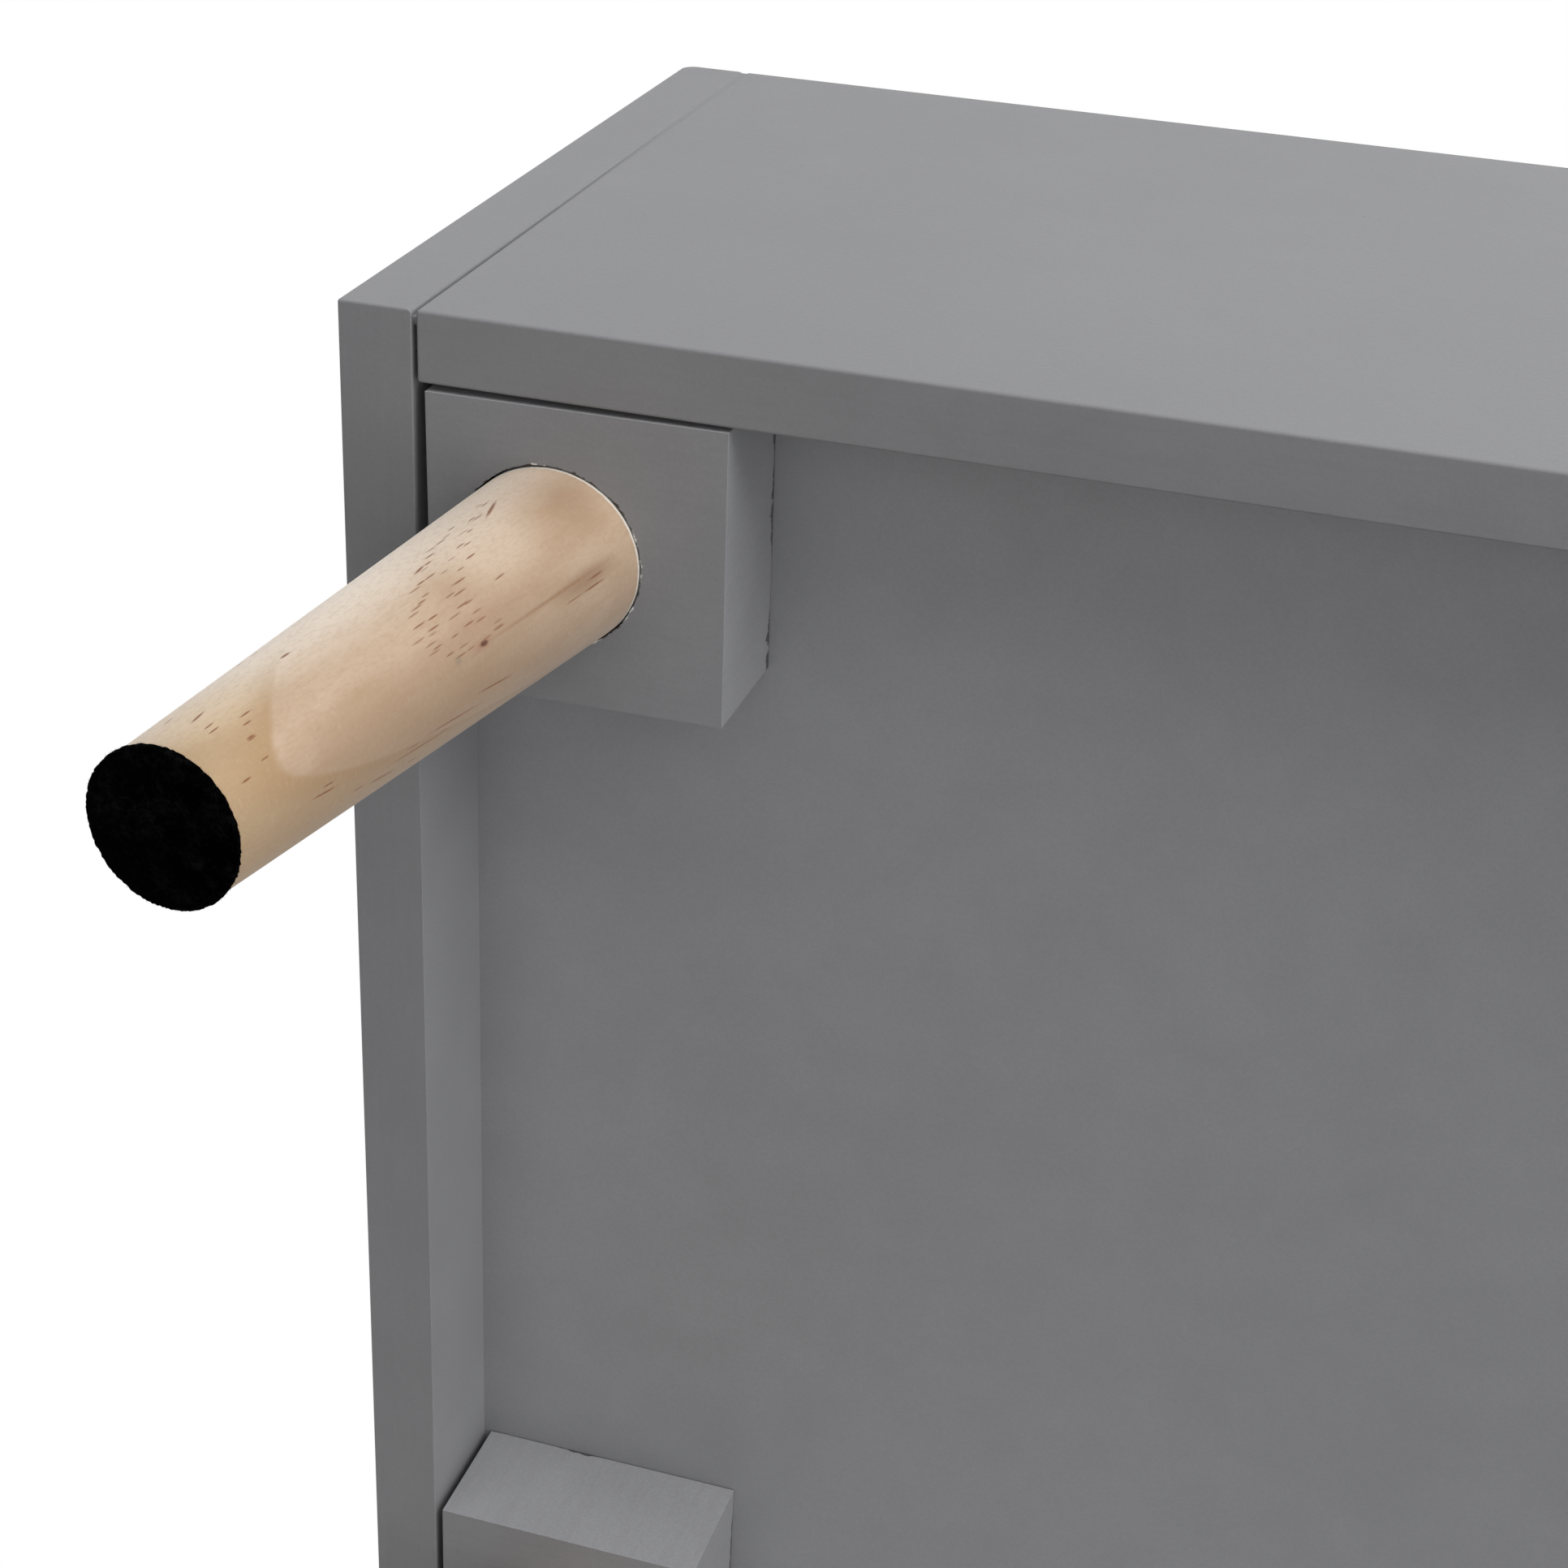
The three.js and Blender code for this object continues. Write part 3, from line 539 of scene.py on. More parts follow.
# Back panel: the same board without the scoop, set a little forward so that the hinge barrels
# stand inside the end panels, with a shallow mortise for each hinge leaf in its top edge.
back_seam = 0.15 * mm
back_low, back_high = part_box("back_panel")
back_low.x = left_inside + back_seam
back_high.x = right_inside - back_seam
hinges = [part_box(f"{hand}_hinge_back_leaf") for hand in ("left", "right")]
leaf_thickness = 1.2 * mm
back = box_between(back_low, back_high)
notch(
    back,
    Vector((back_low.x, back_low.y, board_low.z - seat)),
    Vector((back_high.x, board_high.y + seat, board_high.z + seat)),
    Vector((0, -1, 0)),
)
for leaf_low, leaf_high in hinges:
    notch(
        back,
        Vector((leaf_low.x - seat, leaf_low.y - seat, back_high.z - leaf_thickness - seat)),
        Vector((leaf_high.x + seat, back_high.y, back_high.z)),
        Vector((0, 0, 1)),
    )
for cam in cams[2:]:
    bore(back, cam, Vector((0, -1, 0)), cam_radius + cam_clearance, cam_depth + cam_clearance)
paint_edges(back)
make_piece(
    "back_board", back, "chest", paints, ["back_panel"], board_arris, panel_end_round, 4,
)


# End panels: boards that cover the ends of the front and back panels, each with a rounded hand
# hole near the top and a well-rounded outer top edge. A stopped groove inside houses the bottom
# board.
hand_hole_half = 35 * mm
hand_hole_radius = 15 * mm
hand_hole_drop = 62 * mm
hand_hole_sides = 56
hand_hole_round = 2.6 * mm
hand_hole_zone = (60 * mm, 30 * mm)
inner_edge_round = 0.2 * mm
outer_arris = 0.6 * mm
rim_round = 4.5 * mm
rim_steps = 5
# A darker copy of the paint for the end panels' edges: painted shade.
shaded_end_edge_paint = grey_paint("grey_paint_on_end_edges_painted_darker", 0.81, (1, 0.07, 1))
# A lighter copy of the paint for the insides of the end panels: painted light.
brightened_inside_paint = grey_paint("grey_paint_inside_ends_painted_lighter", 1.15)
for side, hand in hands:
    low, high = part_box(f"{hand}_end_panel")
    inner = high.x if side < 0 else low.x
    outer = low.x if side < 0 else high.x
    end = bmesh.new()
    outline = ((low.y, low.z), (high.y, low.z), (high.y, high.z), (low.y, high.z))
    edges = ring_of(end, [(inner, y, z) for y, z in outline])
    hole_z = high.z - hand_hole_drop
    hole = []
    for step in range(hand_hole_sides):
        angle = 2 * math.pi * (step + 0.5) / hand_hole_sides
        stretch = math.copysign(hand_hole_half, math.cos(angle))
        along = stretch + hand_hole_radius * math.cos(angle)
        hole.append((inner, along, hole_z + hand_hole_radius * math.sin(angle)))
    edges += ring_of(end, hole)
    fill(end, edges)
    grown = bmesh.ops.extrude_face_region(end, geom=end.faces[:])["geom"]
    bmesh.ops.translate(end, vec=(outer - inner, 0, 0), verts=verts_in(grown))
    bmesh.ops.recalc_face_normals(end, faces=end.faces[:])
    groove_end = board_low.x if side < 0 else board_high.x
    notch(
        end,
        Vector((min(inner, groove_end + side * seat), board_low.y - seat, board_low.z - seat)),
        Vector((max(inner, groove_end + side * seat), board_high.y + seat, board_high.z + seat)),
        Vector((-side, 0, 0)),
    )
    centre = Vector((outer - side * rim_round, 0, high.z - rim_round))
    for step in range(rim_steps):
        angle = math.pi / 2 * (step + 0.5) / rim_steps
        out = Vector((side * math.cos(angle), 0, math.sin(angle)))
        cut = cut_across(end, centre + out * rim_round, out, clear_outer=True)
        bmesh.ops.contextual_create(end, geom=cut)

    def end_round(edge):
        middle = middle_of(edge)
        if abs(middle.y) < hand_hole_zone[0] and abs(middle.z - hole_z) < hand_hole_zone[1]:
            return hand_hole_round
        if abs(middle.x - inner) > near:
            return outer_arris
        if middle.y < low.y + near:
            return end_seam_round
        inside_groove = board_low.z - mm < middle.z < board_high.z + mm
        return 0 if inside_groove else inner_edge_round

    paint_edges(end)
    # The inner faces take the lighter copy of the paint: painted light.
    for face in end.faces:
        if face.normal.x * side < -square_on:
            face.material_index = 2
    make_piece(
        f"{hand}_end_board", end, "chest", [face_paint, shaded_end_edge_paint, brightened_inside_paint],
        [f"{hand}_end_panel"], end_round, hand_hole_round, 4,
    )


# Bottom board: a plain sheet housed in the grooves of all four panels, painted with them.
# Its CAD solid has the right shape, so it stays and takes the paint.
def refinish(node, finish):
    """Gives a CAD node that is kept one new material."""
    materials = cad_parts[node].data.materials
    materials.clear()
    materials.append(finish)


# The board's paint is a copy lifted by 1.01: a slight painted light.
refinish("bottom_board", grey_paint("grey_paint_on_bottom_board_painted_lighter", 1.01))


# Corner blocks: squares of solid wood glued and screwed under the bottom board, painted with it.
# Each is bored for a leaning leg, and the cut rim of the bore shows bare and a little ragged; the bare wood
# is painted nearly black as shade. Lighter and darker copies of the paint on the sides and faces are
# painted light and shade.
splay = math.radians(7.5)
socket_radius = 23.6 * mm
socket_depth = 20 * mm
socket_offset = 6.9 * mm
socket_sides = 96
flange_bore = 8.3 * mm
flange_floor = 22.1 * mm
insert_bore = 6.8 * mm
insert_floor = 34.6 * mm
socket_overrun = 10 * mm
rim_tear = (-0.15, 0.2)
rim_zone = 30 * mm
glue_film = 0.02 * mm
block_round = 0.15 * mm
block_spare = {"front": 0.0, "back": 1.4 * mm}
block_turns = {
    ("front", "left"): -0.5,
    ("front", "right"): 0.3,
    ("back", "left"): 0.2,
    ("back", "right"): -0.3,
}


def shaded_bore_wood():
    """Bare wood seen in the gap round a leg, painted nearly black as the shade in that narrow gap."""
    wood = Recipe(bpy.data.materials.new("bored_wood_painted_shade"))
    place = object_place(wood)
    tear = wood.noise(place, 900, 3, 0.7)
    # Painted shade: the wood is coloured from nearly black to dark brown.
    colour = wood.blend(wood.rise(tear, 0.45, 0.75), (0.012, 0.009, 0.007, 1), (0.075, 0.05, 0.033, 1))
    rough = 0.85 + (tear - 0.5) * 0.1
    skin = wood.bump(tear, 0.3 * mm)
    looks = {"Base Color": colour, "Roughness": rough, "Normal": skin}
    return wood.surface({**looks, "Specular IOR Level": 0.1})


def spun(profile, sides):
    """A bmesh turned about Z from [radius, height] pairs."""
    bm = bmesh.new()
    verts = [bm.verts.new((radius, 0, height)) for radius, height in profile]
    edges = [bm.edges.new(pair) for pair in zip(verts, verts[1:])]
    bmesh.ops.spin(
        bm, geom=verts + edges, cent=(0, 0, 0), axis=(0, 0, 1), dvec=(0, 0, 0), angle=2 * math.pi,
        space=Matrix.Identity(4), steps=sides, use_merge=True, use_normal_flip=False, use_duplicate=False,
    )
    weld(bm)
    return bm


def crack_and_shade_line(widest, soundest):
    """Where a block meets the board the paint has shrunk back, less where a slow noise is low. The shade in
    that crack is painted in as a near-black band.
    """
    def wear_and_shade(coat, place, colour):
        depth = block_top - coat.split(place)[2]
        tear = coat.noise(coat.moved(place, scale=(1, 1, 0.3)), 260, 4, 0.75)
        stretch = coat.rise(coat.noise(place, 26, 1, 0.5), soundest, soundest + 0.1)
        width = coat.rise(tear, 0.32, 0.7) * stretch * widest
        # Painted shade: the crack is coloured nearly black.
        return coat.blend((depth < width) * 0.85, colour, (0.025, 0.024, 0.023, 1))

    return wear_and_shade


shaded_bare_bore = shaded_bore_wood()
block_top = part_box("front_left_leg_block")[1].z
# Lighter copies of the paint for the blocks' sides and ends: painted light.
brightened_side_paints = {
    "front": grey_paint("grey_paint_on_front_blocks_painted_lighter", 1.27, (1, 1, 0.1), crack_and_shade_line(3.2 * mm, 0.28)),
    "back": grey_paint("grey_paint_on_back_blocks_painted_lighter", 1.27, (1, 1, 0.1), crack_and_shade_line(1.5 * mm, 0.44)),
}
brightened_cross_paint = grey_paint("grey_paint_across_blocks_painted_lighter", 1.55, (1, 1, 0.1), crack_and_shade_line(1.1 * mm, 0.48))
leg_places = {}
for row, hand in corners:
    side = -1 if hand == "left" else 1
    low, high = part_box(f"{row}_{hand}_leg_block")
    mouth = Vector(((low.x + high.x) / 2 + side * socket_offset, (low.y + high.y) / 2, low.z))
    lean = Matrix.Translation(mouth) @ Matrix.Rotation(-side * splay, 4, "Y")
    leg_places[row, hand] = (mouth, lean)
    spare = block_spare[row]
    low.x, high.x = (low.x - spare, high.x) if side < 0 else (low.x, high.x + spare)
    high.z = board_low.z - glue_film

    def torn_and_shaded_rim(coat, place, colour):
        """The drill has torn the paint round the socket, down to wood and white filler. The bare wood is
        painted nearly black, as the shade at the mouth of the gap round the leg.
        """
        away = coat.moved(coat.moved(place, tuple(mouth), kind="TEXTURE"), scale=(math.cos(splay), 1, 0))
        tear = coat.noise(place, 560, 4, 0.75)
        reach = coat.length(away) + (tear - 0.5) * 2.8 * mm
        torn = coat.rise(reach, socket_radius + 0.3 * mm, socket_radius)
        filler = coat.rise(coat.noise(place, 240, 2, 0.5), 0.57, 0.62)
        # Painted shade: the bare wood is coloured nearly black; the white filler is its own colour.
        bare = coat.blend(filler, (0.02, 0.014, 0.01, 1), (0.62, 0.6, 0.57, 1))
        return coat.blend(torn, colour, bare)

    def round_the_mouth(vert):
        """Its angle round the socket, counted from a place between two corners of the rim."""
        angle = math.atan2(vert.co.y - mouth.y, vert.co.x - mouth.x)
        return (angle + math.pi / socket_sides) % (2 * math.pi)

    # A darker copy of the paint for the block's faces: painted shade.
    shaded_face_finish = grey_paint(f"grey_paint_round_{row}_{hand}_socket", 0.88, (0.15, 1, 1), torn_and_shaded_rim)
    profile = [
        (socket_radius, -socket_overrun),
        (socket_radius, socket_depth),
        (flange_bore, socket_depth),
        (flange_bore, flange_floor),
        (insert_bore, flange_floor),
        (insert_bore, insert_floor),
        (0, insert_floor),
    ]
    block = spun(profile, socket_sides)
    carry(block, lean)
    cut_across(block, (0, 0, low.z), (0, 0, -1), clear_outer=True)
    for face in block.faces:
        face.material_index = 2
    rim = [edge for edge in block.edges if edge.is_boundary]
    ragged = random.Random(f"rim {row} {hand}")
    for vert in sorted({vert for edge in rim for vert in edge.verts}, key=round_the_mouth):
        vert.co += (vert.co - mouth).normalized() * ragged.uniform(*rim_tear) * mm
    bored = set(block.faces)
    outline = ((low.x, low.y), (high.x, low.y), (high.x, high.y), (low.x, high.y))
    walls = ring_of(block, [(x, y, low.z) for x, y in outline])
    fill(block, rim + walls)
    pull(block, walls, (0, 0, high.z - low.z))
    bmesh.ops.recalc_face_normals(block, faces=block.faces[:])
    # Each face takes a lighter or darker copy of the paint by which way it looks: painted light and shade.
    for face in set(block.faces) - bored:
        face.material_index = 3 if abs(face.normal.y) > square_on else int(abs(face.normal.z) > square_on)
    turn = Matrix.Rotation(math.radians(block_turns[row, hand]), 3, "Z")
    bmesh.ops.rotate(block, cent=mouth, matrix=turn, verts=block.verts[:])

    def block_arris(edge):
        ends = [(vert.co - mouth).to_2d().length for vert in edge.verts]
        return 0 if max(ends) < rim_zone else block_round

    finishes = [brightened_side_paints[row], shaded_face_finish, shaded_bare_bore, brightened_cross_paint]
    make_piece(
        f"{row}_{hand}_corner_block", block, "chest", finishes,
        [f"{row}_{hand}_leg_block"], block_arris, block_round, 4,
    )


# Legs: turned pine, tapered and sanded, left bare or under a thin matt lacquer. Each is drawn
# tight into its socket by a bolt, and has small brown flecks along the grain, as in the photo.
leg_round = 0.8 * mm
leg_round_steps = 4
leg_top_chamfer = 1.5 * mm
leg_sides = 128
leg_mouth_radius = 23.2 * mm
leg_end_radius = 17.55 * mm
leg_reach = 156.6 * mm
leg_top = 19.7 * mm
leg_rings = (60 * mm, 110 * mm)
bolt_bore = 4.3 * mm
bolt_bore_depth = 41.3 * mm


def pine(name, mouth, lean, turn, drift):
    """Pale sanded pine. turn and drift give each leg its own cut from the plank. Places on it are
    degrees round the leg and millimetres along it from the block."""
    wood = Recipe(bpy.data.materials.new(name))
    local = wood.moved(object_place(wood), mouth, (0, lean, 0), kind="TEXTURE")
    cut = wood.moved(local, (0, 0, drift), (0, 0, turn))
    x, y, z = wood.split(cut)
    angle = y.maths("ARCTAN2", y, x) * math.degrees(1)
    along = z / mm
    flat = wood.add("CombineXYZ", None, {0: angle, 1: along})
    broad = wood.noise(wood.moved(cut, scale=(1, 1, 0.45)), 42, 3, 0.5, 0.2)
    streaks = wood.noise(wood.moved(cut, scale=(1, 1, 0.1)), 330, 3, 0.6)
    fuzz = wood.noise(wood.moved(cut, scale=(1, 1, 0.35)), 1300, 3, 0.65)
    crossed = wood.moved(flat, rotation=(0, 0, math.radians(50)), scale=(0.11, 0.9, 1))
    hairs = wood.noise(crossed, 1.6, 3, 0.6, 0.4)
    wobble = (broad - 0.5) * 9

    def arch(middle, left_curve, right_curve):
        """Height above an arched growth ring, which is open towards the block."""
        off = angle - middle
        left = off.smaller(0.0)
        right = off.larger(0.0)
        return along - left * left * left_curve - right * right * right_curve + wobble

    def spot(middle, height, half_width, half_length, tilt=0.0, core=0.3):
        """An oval patch that is 1 in its core and fades to its edge."""
        size = (half_width, half_length, 1)
        placed = wood.moved(flat, (middle, height, 0), (0, 0, math.radians(tilt)), size, "TEXTURE")
        return wood.rise(wood.length(placed), 1.0, core)

    ring = arch(-30, 0.0068, 0.024)
    outside = wood.rise(ring, -137, -140.5)
    late_band = outside * wood.rise(ring, -160, -140)
    colour = wood.blend(wood.rise(broad, 0.34, 0.64), (0.43, 0.302, 0.203, 1), (0.53, 0.4, 0.292, 1))
    colour = wood.blend(outside * 0.8, colour, (0.4, 0.28, 0.155, 1))
    colour = wood.blend(late_band * 0.65, colour, (0.35, 0.215, 0.1, 1))
    mottle = wood.noise(wood.moved(cut, scale=(1, 1, 0.3)), 140, 4, 0.65, 0.3)
    colour = wood.blend(wood.rise(mottle, 0.42, 0.68) * 0.3, colour, (0.4, 0.27, 0.16, 1))
    colour = wood.blend(wood.rise(streaks, 0.48, 0.72) * 0.36, colour, (0.40, 0.26, 0.15, 1))
    colour = wood.blend(spot(-66, -9, 40, 14, core=0.1) * 0.7, colour, (0.33, 0.213, 0.13, 1))
    colour = wood.blend(spot(-68, -42, 34, 25, core=0.2) * 0.6, colour, (0.68, 0.55, 0.43, 1))
    # Painted shade: a broad dark patch down one side of the leg.
    colour = wood.blend(spot(12, -75, 75, 120, core=0.1) * 0.66, colour, (0.3, 0.198, 0.122, 1))
    # Painted highlight: a broad pale patch down the opposite side of the leg.
    colour = wood.blend(spot(-122, -80, 64, 135, core=0.2) * 0.88, colour, (0.95, 0.83, 0.7, 1))
    colour = wood.blend(spot(-98, -140, 46, 22, core=0.2) * 0.4, colour, (0.72, 0.56, 0.38, 1))
    colour = wood.blend(spot(-34, -62, 13, 28, core=0.1) * 0.4, colour, (0.34, 0.2, 0.12, 1))
    colour = wood.blend(spot(-17, -20, 10, 20, core=0.1) * 0.65, colour, (0.25, 0.14, 0.075, 1))
    marks = 0.0
    for level, seed in pine_fleck_rows:
        place = {"W": angle / fleck_step + seed, "Scale": 1.0, "Randomness": 1.0}
        names = ("Distance", "Color", "W")
        apart, cell, middle = wood.several("TexVoronoi", {"voronoi_dimensions": "1D"}, place, names)
        draws = wood.several("SeparateColor", None, {0: cell}, ("Red", "Green", "Blue"))
        off_apex = (middle - seed) * fleck_step + 38
        left = off_apex.smaller(0.0)
        right = off_apex.larger(0.0)
        height = level + left * left * 0.011 + right * right * 0.045 + (draws[0] - 0.5) * 8
        up = (along - height) / (draws[1] * 1.7 + 1.7)
        apart = apart / 0.12
        oval = up * up + apart * apart
        near_apex = wood.rise(off_apex, -68, -60) * wood.rise(off_apex, 22, 14)
        fleck = wood.rise(oval, 1.0, 0.15) * near_apex * (draws[2] * 0.55 + 0.45)
        marks = fleck.larger(marks)
    row = wood.add("CombineXYZ", None, {0: angle / 5, 1: ring / 12})
    seeds = {"Vector": row, "Scale": 1.0, "Randomness": 0.9}
    names = ("Distance", "Color")
    apart, cell = wood.several("TexVoronoi", {"voronoi_dimensions": "2D"}, seeds, names)
    stray = wood.rise(apart, 0.17, 0.07) * outside * (wood.split(cell)[0] > 0.88)
    marks = marks.larger(stray)
    for mark in pine_marks:
        marks = marks.larger(spot(*mark))
    colour = wood.blend(marks * 0.95, colour, (0.2, 0.075, 0.03, 1))
    streak = spot(-20, -36, 1.9, 36, -0.5, 0.0)
    colour = wood.blend(streak * 0.65, colour, (0.24, 0.12, 0.055, 1))
    halo = spot(-21, -65, 6, 7, 0, 0.0)
    colour = wood.blend(halo * 0.6, colour, (0.32, 0.16, 0.09, 1))
    colour = wood.blend(spot(-21, -64.5, 2.6, 2.2, 20), colour, (0.10, 0.035, 0.022, 1))
    colour = wood.blend(spot(-21, -75, 4, 1.8, 0, 0.1) * 0.6, colour, (0.21, 0.185, 0.14, 1))
    colour = wood.blend(wood.rise(fuzz, 0.42, 0.7) * 0.24, colour, (0.34, 0.22, 0.13, 1))
    colour = wood.blend(wood.rise(hairs, 0.5, 0.75) * 0.1, colour, (0.7, 0.57, 0.44, 1))
    below_block = (mouth[2] - wood.split(object_place(wood))[2]) / mm
    lip = wood.rise(below_block + (fuzz - 0.5) * 0.8, 0.7, 0.4)
    colour = wood.blend(lip * 0.8, colour, (0.78, 0.74, 0.68, 1))
    rough = 0.5 + (fuzz - 0.5) * 0.2 + marks * 0.1
    height = fuzz * 0.4 + streaks * 0.25 + hairs * 0.35 - marks * 0.7
    skin = wood.bump(height, 0.07 * mm)
    return wood.surface({"Base Color": colour, "Roughness": rough, "Normal": skin, "Sheen Weight": 0.15})


fleck_step = 6.2
pine_fleck_rows = [(-82, 0.0), (-80, 11.3), (-69, 23.7), (-63, 37.1)]
pine_marks = [
    (-16, -16.5, 0.9, 4.5, 0),
    (-11, -18, 0.9, 6.5, 0),
    (-11, -27, 0.5, 5.0, 0),
    (-90.5, -27, 1.3, 8.0, 38),
    (-84, -63, 1.2, 3.6, 22),
    (-49, -48, 0.7, 3.0, 6),
    (-36, -149, 1.1, 2.2, 0),
    (-93, -143, 1.3, 4.0, 24),
    (-92, -112, 1.6, 2.4, 0),
    (-72, -136, 1.0, 2.6, 0),
    (-66, -138, 1.0, 2.0, 0),
    (-57, -140.5, 1.2, 1.8, 0),
    (24, -105, 1.3, 7.0, -20),
    (9, -62, 1.0, 10.0, -14),
    (15, -78, 0.9, 14.0, -10),
    (3, -128, 1.1, 6.0, -15),
    (19, -92, 0.8, 16.0, -8),
]
leg_cuts = {
    ("front", "left"): (0.0, 0.0),
    ("front", "right"): (2.1, 0.31),
    ("back", "left"): (3.7, 0.62),
    ("back", "right"): (5.2, 0.93),
}
leg_taper = (leg_mouth_radius - leg_end_radius) / leg_reach
for row, hand in corners:
    side = -1 if hand == "left" else 1
    mouth, lean = leg_places[row, hand]
    profile = [(0, -leg_reach), (leg_end_radius - leg_round, -leg_reach)]
    for step in range(1, leg_round_steps + 1):
        angle = math.pi / 2 * step / leg_round_steps
        profile.append((
            leg_end_radius - leg_round + leg_round * math.sin(angle),
            -leg_reach + leg_round * (1 - math.cos(angle)),
        ))
    profile += [(leg_end_radius + leg_taper * up, up - leg_reach) for up in leg_rings]
    profile += [
        (leg_mouth_radius, 0),
        (leg_mouth_radius, leg_top - leg_top_chamfer),
        (leg_mouth_radius - leg_top_chamfer, leg_top),
        (bolt_bore, leg_top),
        (bolt_bore, leg_top - bolt_bore_depth),
        (0, leg_top - bolt_bore_depth),
    ]
    leg = spun(profile, leg_sides)
    carry(leg, lean)
    turn, drift = leg_cuts[row, hand]
    finish = pine(f"pine_{row}_{hand}", tuple(mouth), -side * splay, turn, drift)
    make_piece(f"{row}_{hand}_pine_leg", leg, "chest", [finish], [f"{row}_{hand}_leg"])


# Felt pads: discs of dense black felt glued under the legs. Their cut edge is hairy, and the
# chest's weight presses them flat where the leaning leg meets the floor.
pad_radius = 18.1 * mm
pad_thickness = 2.2 * mm
pad_sides = 180
pad_rings = (0.25, 0.5, 0.7, 0.85, 0.95)
pad_edge = 0.5 * mm


def black_felt():
    """Pressed black wool felt: nearly black, dull, with matted hairs."""
    wool = Recipe(bpy.data.materials.new("black_felt"))
    place = object_place(wool)
    mat = wool.noise(place, 420, 5, 0.7, 1.5)
    tufts = wool.noise(place, 150, 3, 0.6)
    hairs = wool.rise(mat * 0.6 + tufts * 0.4, 0.46, 0.72)
    colour = wool.blend(hairs, (0.0002, 0.0002, 0.0002, 1), (0.006, 0.006, 0.0063, 1))
    rough = 0.95 + (mat - 0.5) * 0.05
    skin = wool.bump(mat, 0.5 * mm)
    looks = {"Base Color": colour, "Roughness": rough, "Normal": skin}
    return wool.surface({**looks, "Specular IOR Level": 0.02})


def add_hair(bm, root, towards, length):
    """One thin hair of wool, a slim cone."""
    stand = towards.to_track_quat("Z", "Y").to_matrix().to_4x4()
    place = Matrix.Translation(root + towards * length / 2) @ stand
    bmesh.ops.create_cone(
        bm, cap_ends=True, cap_tris=True, segments=3, radius1=0.05 * mm, radius2=0.012 * mm,
        depth=length, matrix=place,
    )


felt = black_felt()
hair_count = 260
for row, hand in corners:
    lean = leg_places[row, hand][1]
    top = -leg_reach - seat
    profile = [(0, top - pad_thickness)]
    profile += [(pad_radius * share, top - pad_thickness) for share in pad_rings]
    profile += [
        (pad_radius - 0.25 * mm, top - pad_thickness + 0.1 * mm),
        (pad_radius, top - pad_thickness + pad_edge),
        (pad_radius + 0.05 * mm, top - pad_thickness / 2),
        (pad_radius, top - 0.4 * mm),
        (pad_radius - 0.3 * mm, top),
        (0, top),
    ]
    pad = spun(profile, pad_sides)
    matted = random.Random(f"felt {row} {hand}")
    for vert in pad.verts:
        if vert.co.to_2d().length > pad_radius - pad_edge:
            vert.co += vert.co.to_2d().to_3d().normalized() * matted.uniform(-0.3, 0.12) * mm
    for _ in range(hair_count):
        angle = matted.uniform(0, 2 * math.pi)
        out = Vector((math.cos(angle), math.sin(angle), 0))
        root = out * (pad_radius - 0.25 * mm) + Vector((0, 0, top - matted.uniform(0.2, 2.0) * mm))
        stray = Vector([matted.uniform(-1, 1) for _ in range(3)]) * 0.9
        add_hair(pad, root, (out + stray).normalized(), matted.uniform(0.3, 0.8) * mm)
    carry(pad, lean)
    for vert in pad.verts:
        vert.co.z = max(vert.co.z, 0.0)
    make_piece(f"{row}_{hand}_felt_disc", pad, "chest", [felt], [f"{row}_{hand}_felt_pad"])


# Lid: one painted board with rounded edges that covers all four panels, with a thin shadow line
# between. Its hinge leaves are let into shallow mortises along the back edge.
lid_low, lid_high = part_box("lid")
lid_round = 3 * mm
lid_back_round = 1.1 * mm
lid = box_between(lid_low, lid_high)
for leaf_low, leaf_high in hinges:
    notch(
        lid,
        Vector((leaf_low.x - seat, leaf_low.y - seat, lid_low.z)),
        Vector((leaf_high.x + seat, lid_high.y, lid_low.z + leaf_thickness + seat)),
        Vector((0, 0, -1)),
    )


def lid_arris(edge):
    middle = middle_of(edge)
    on_side = abs(abs(middle.x) - lid_high.x) < near or middle.y < lid_low.y + near
    if on_side or middle.z > lid_high.z - near:
        return lid_round
    return lid_back_round if middle.z < lid_low.z + near and middle.y > lid_high.y - near else 0


make_piece("lid_board", lid, "lid", [face_paint], ["lid"], lid_arris, lid_round, 5)


# Lid bumpers: small domes of soft clear rubber, stuck under the lid's front corners, that land
# on the front panel.
def clear_rubber():
    """Soft rubber, faintly milky, with dust on its tacky skin."""
    gum = Recipe(bpy.data.materials.new("bumper_rubber"))
    place = object_place(gum)
    milk = gum.noise(place, 300, 3, 0.6)
    dust = gum.noise(place, 1800, 2, 0.6)
    colour = gum.blend(gum.rise(milk, 0.35, 0.65), (0.5, 0.5, 0.48, 1), (0.6, 0.6, 0.59, 1))
    colour = gum.blend(gum.rise(dust, 0.6, 0.75) * 0.3, colour, (0.3, 0.29, 0.27, 1))
    rough = 0.32 + (dust - 0.5) * 0.25
    return gum.surface({
        "Base Color": colour, "Roughness": rough, "Normal": gum.bump(dust, 0.02 * mm),
        "Subsurface Weight": 0.2, "Subsurface Scale": 0.002,
    })


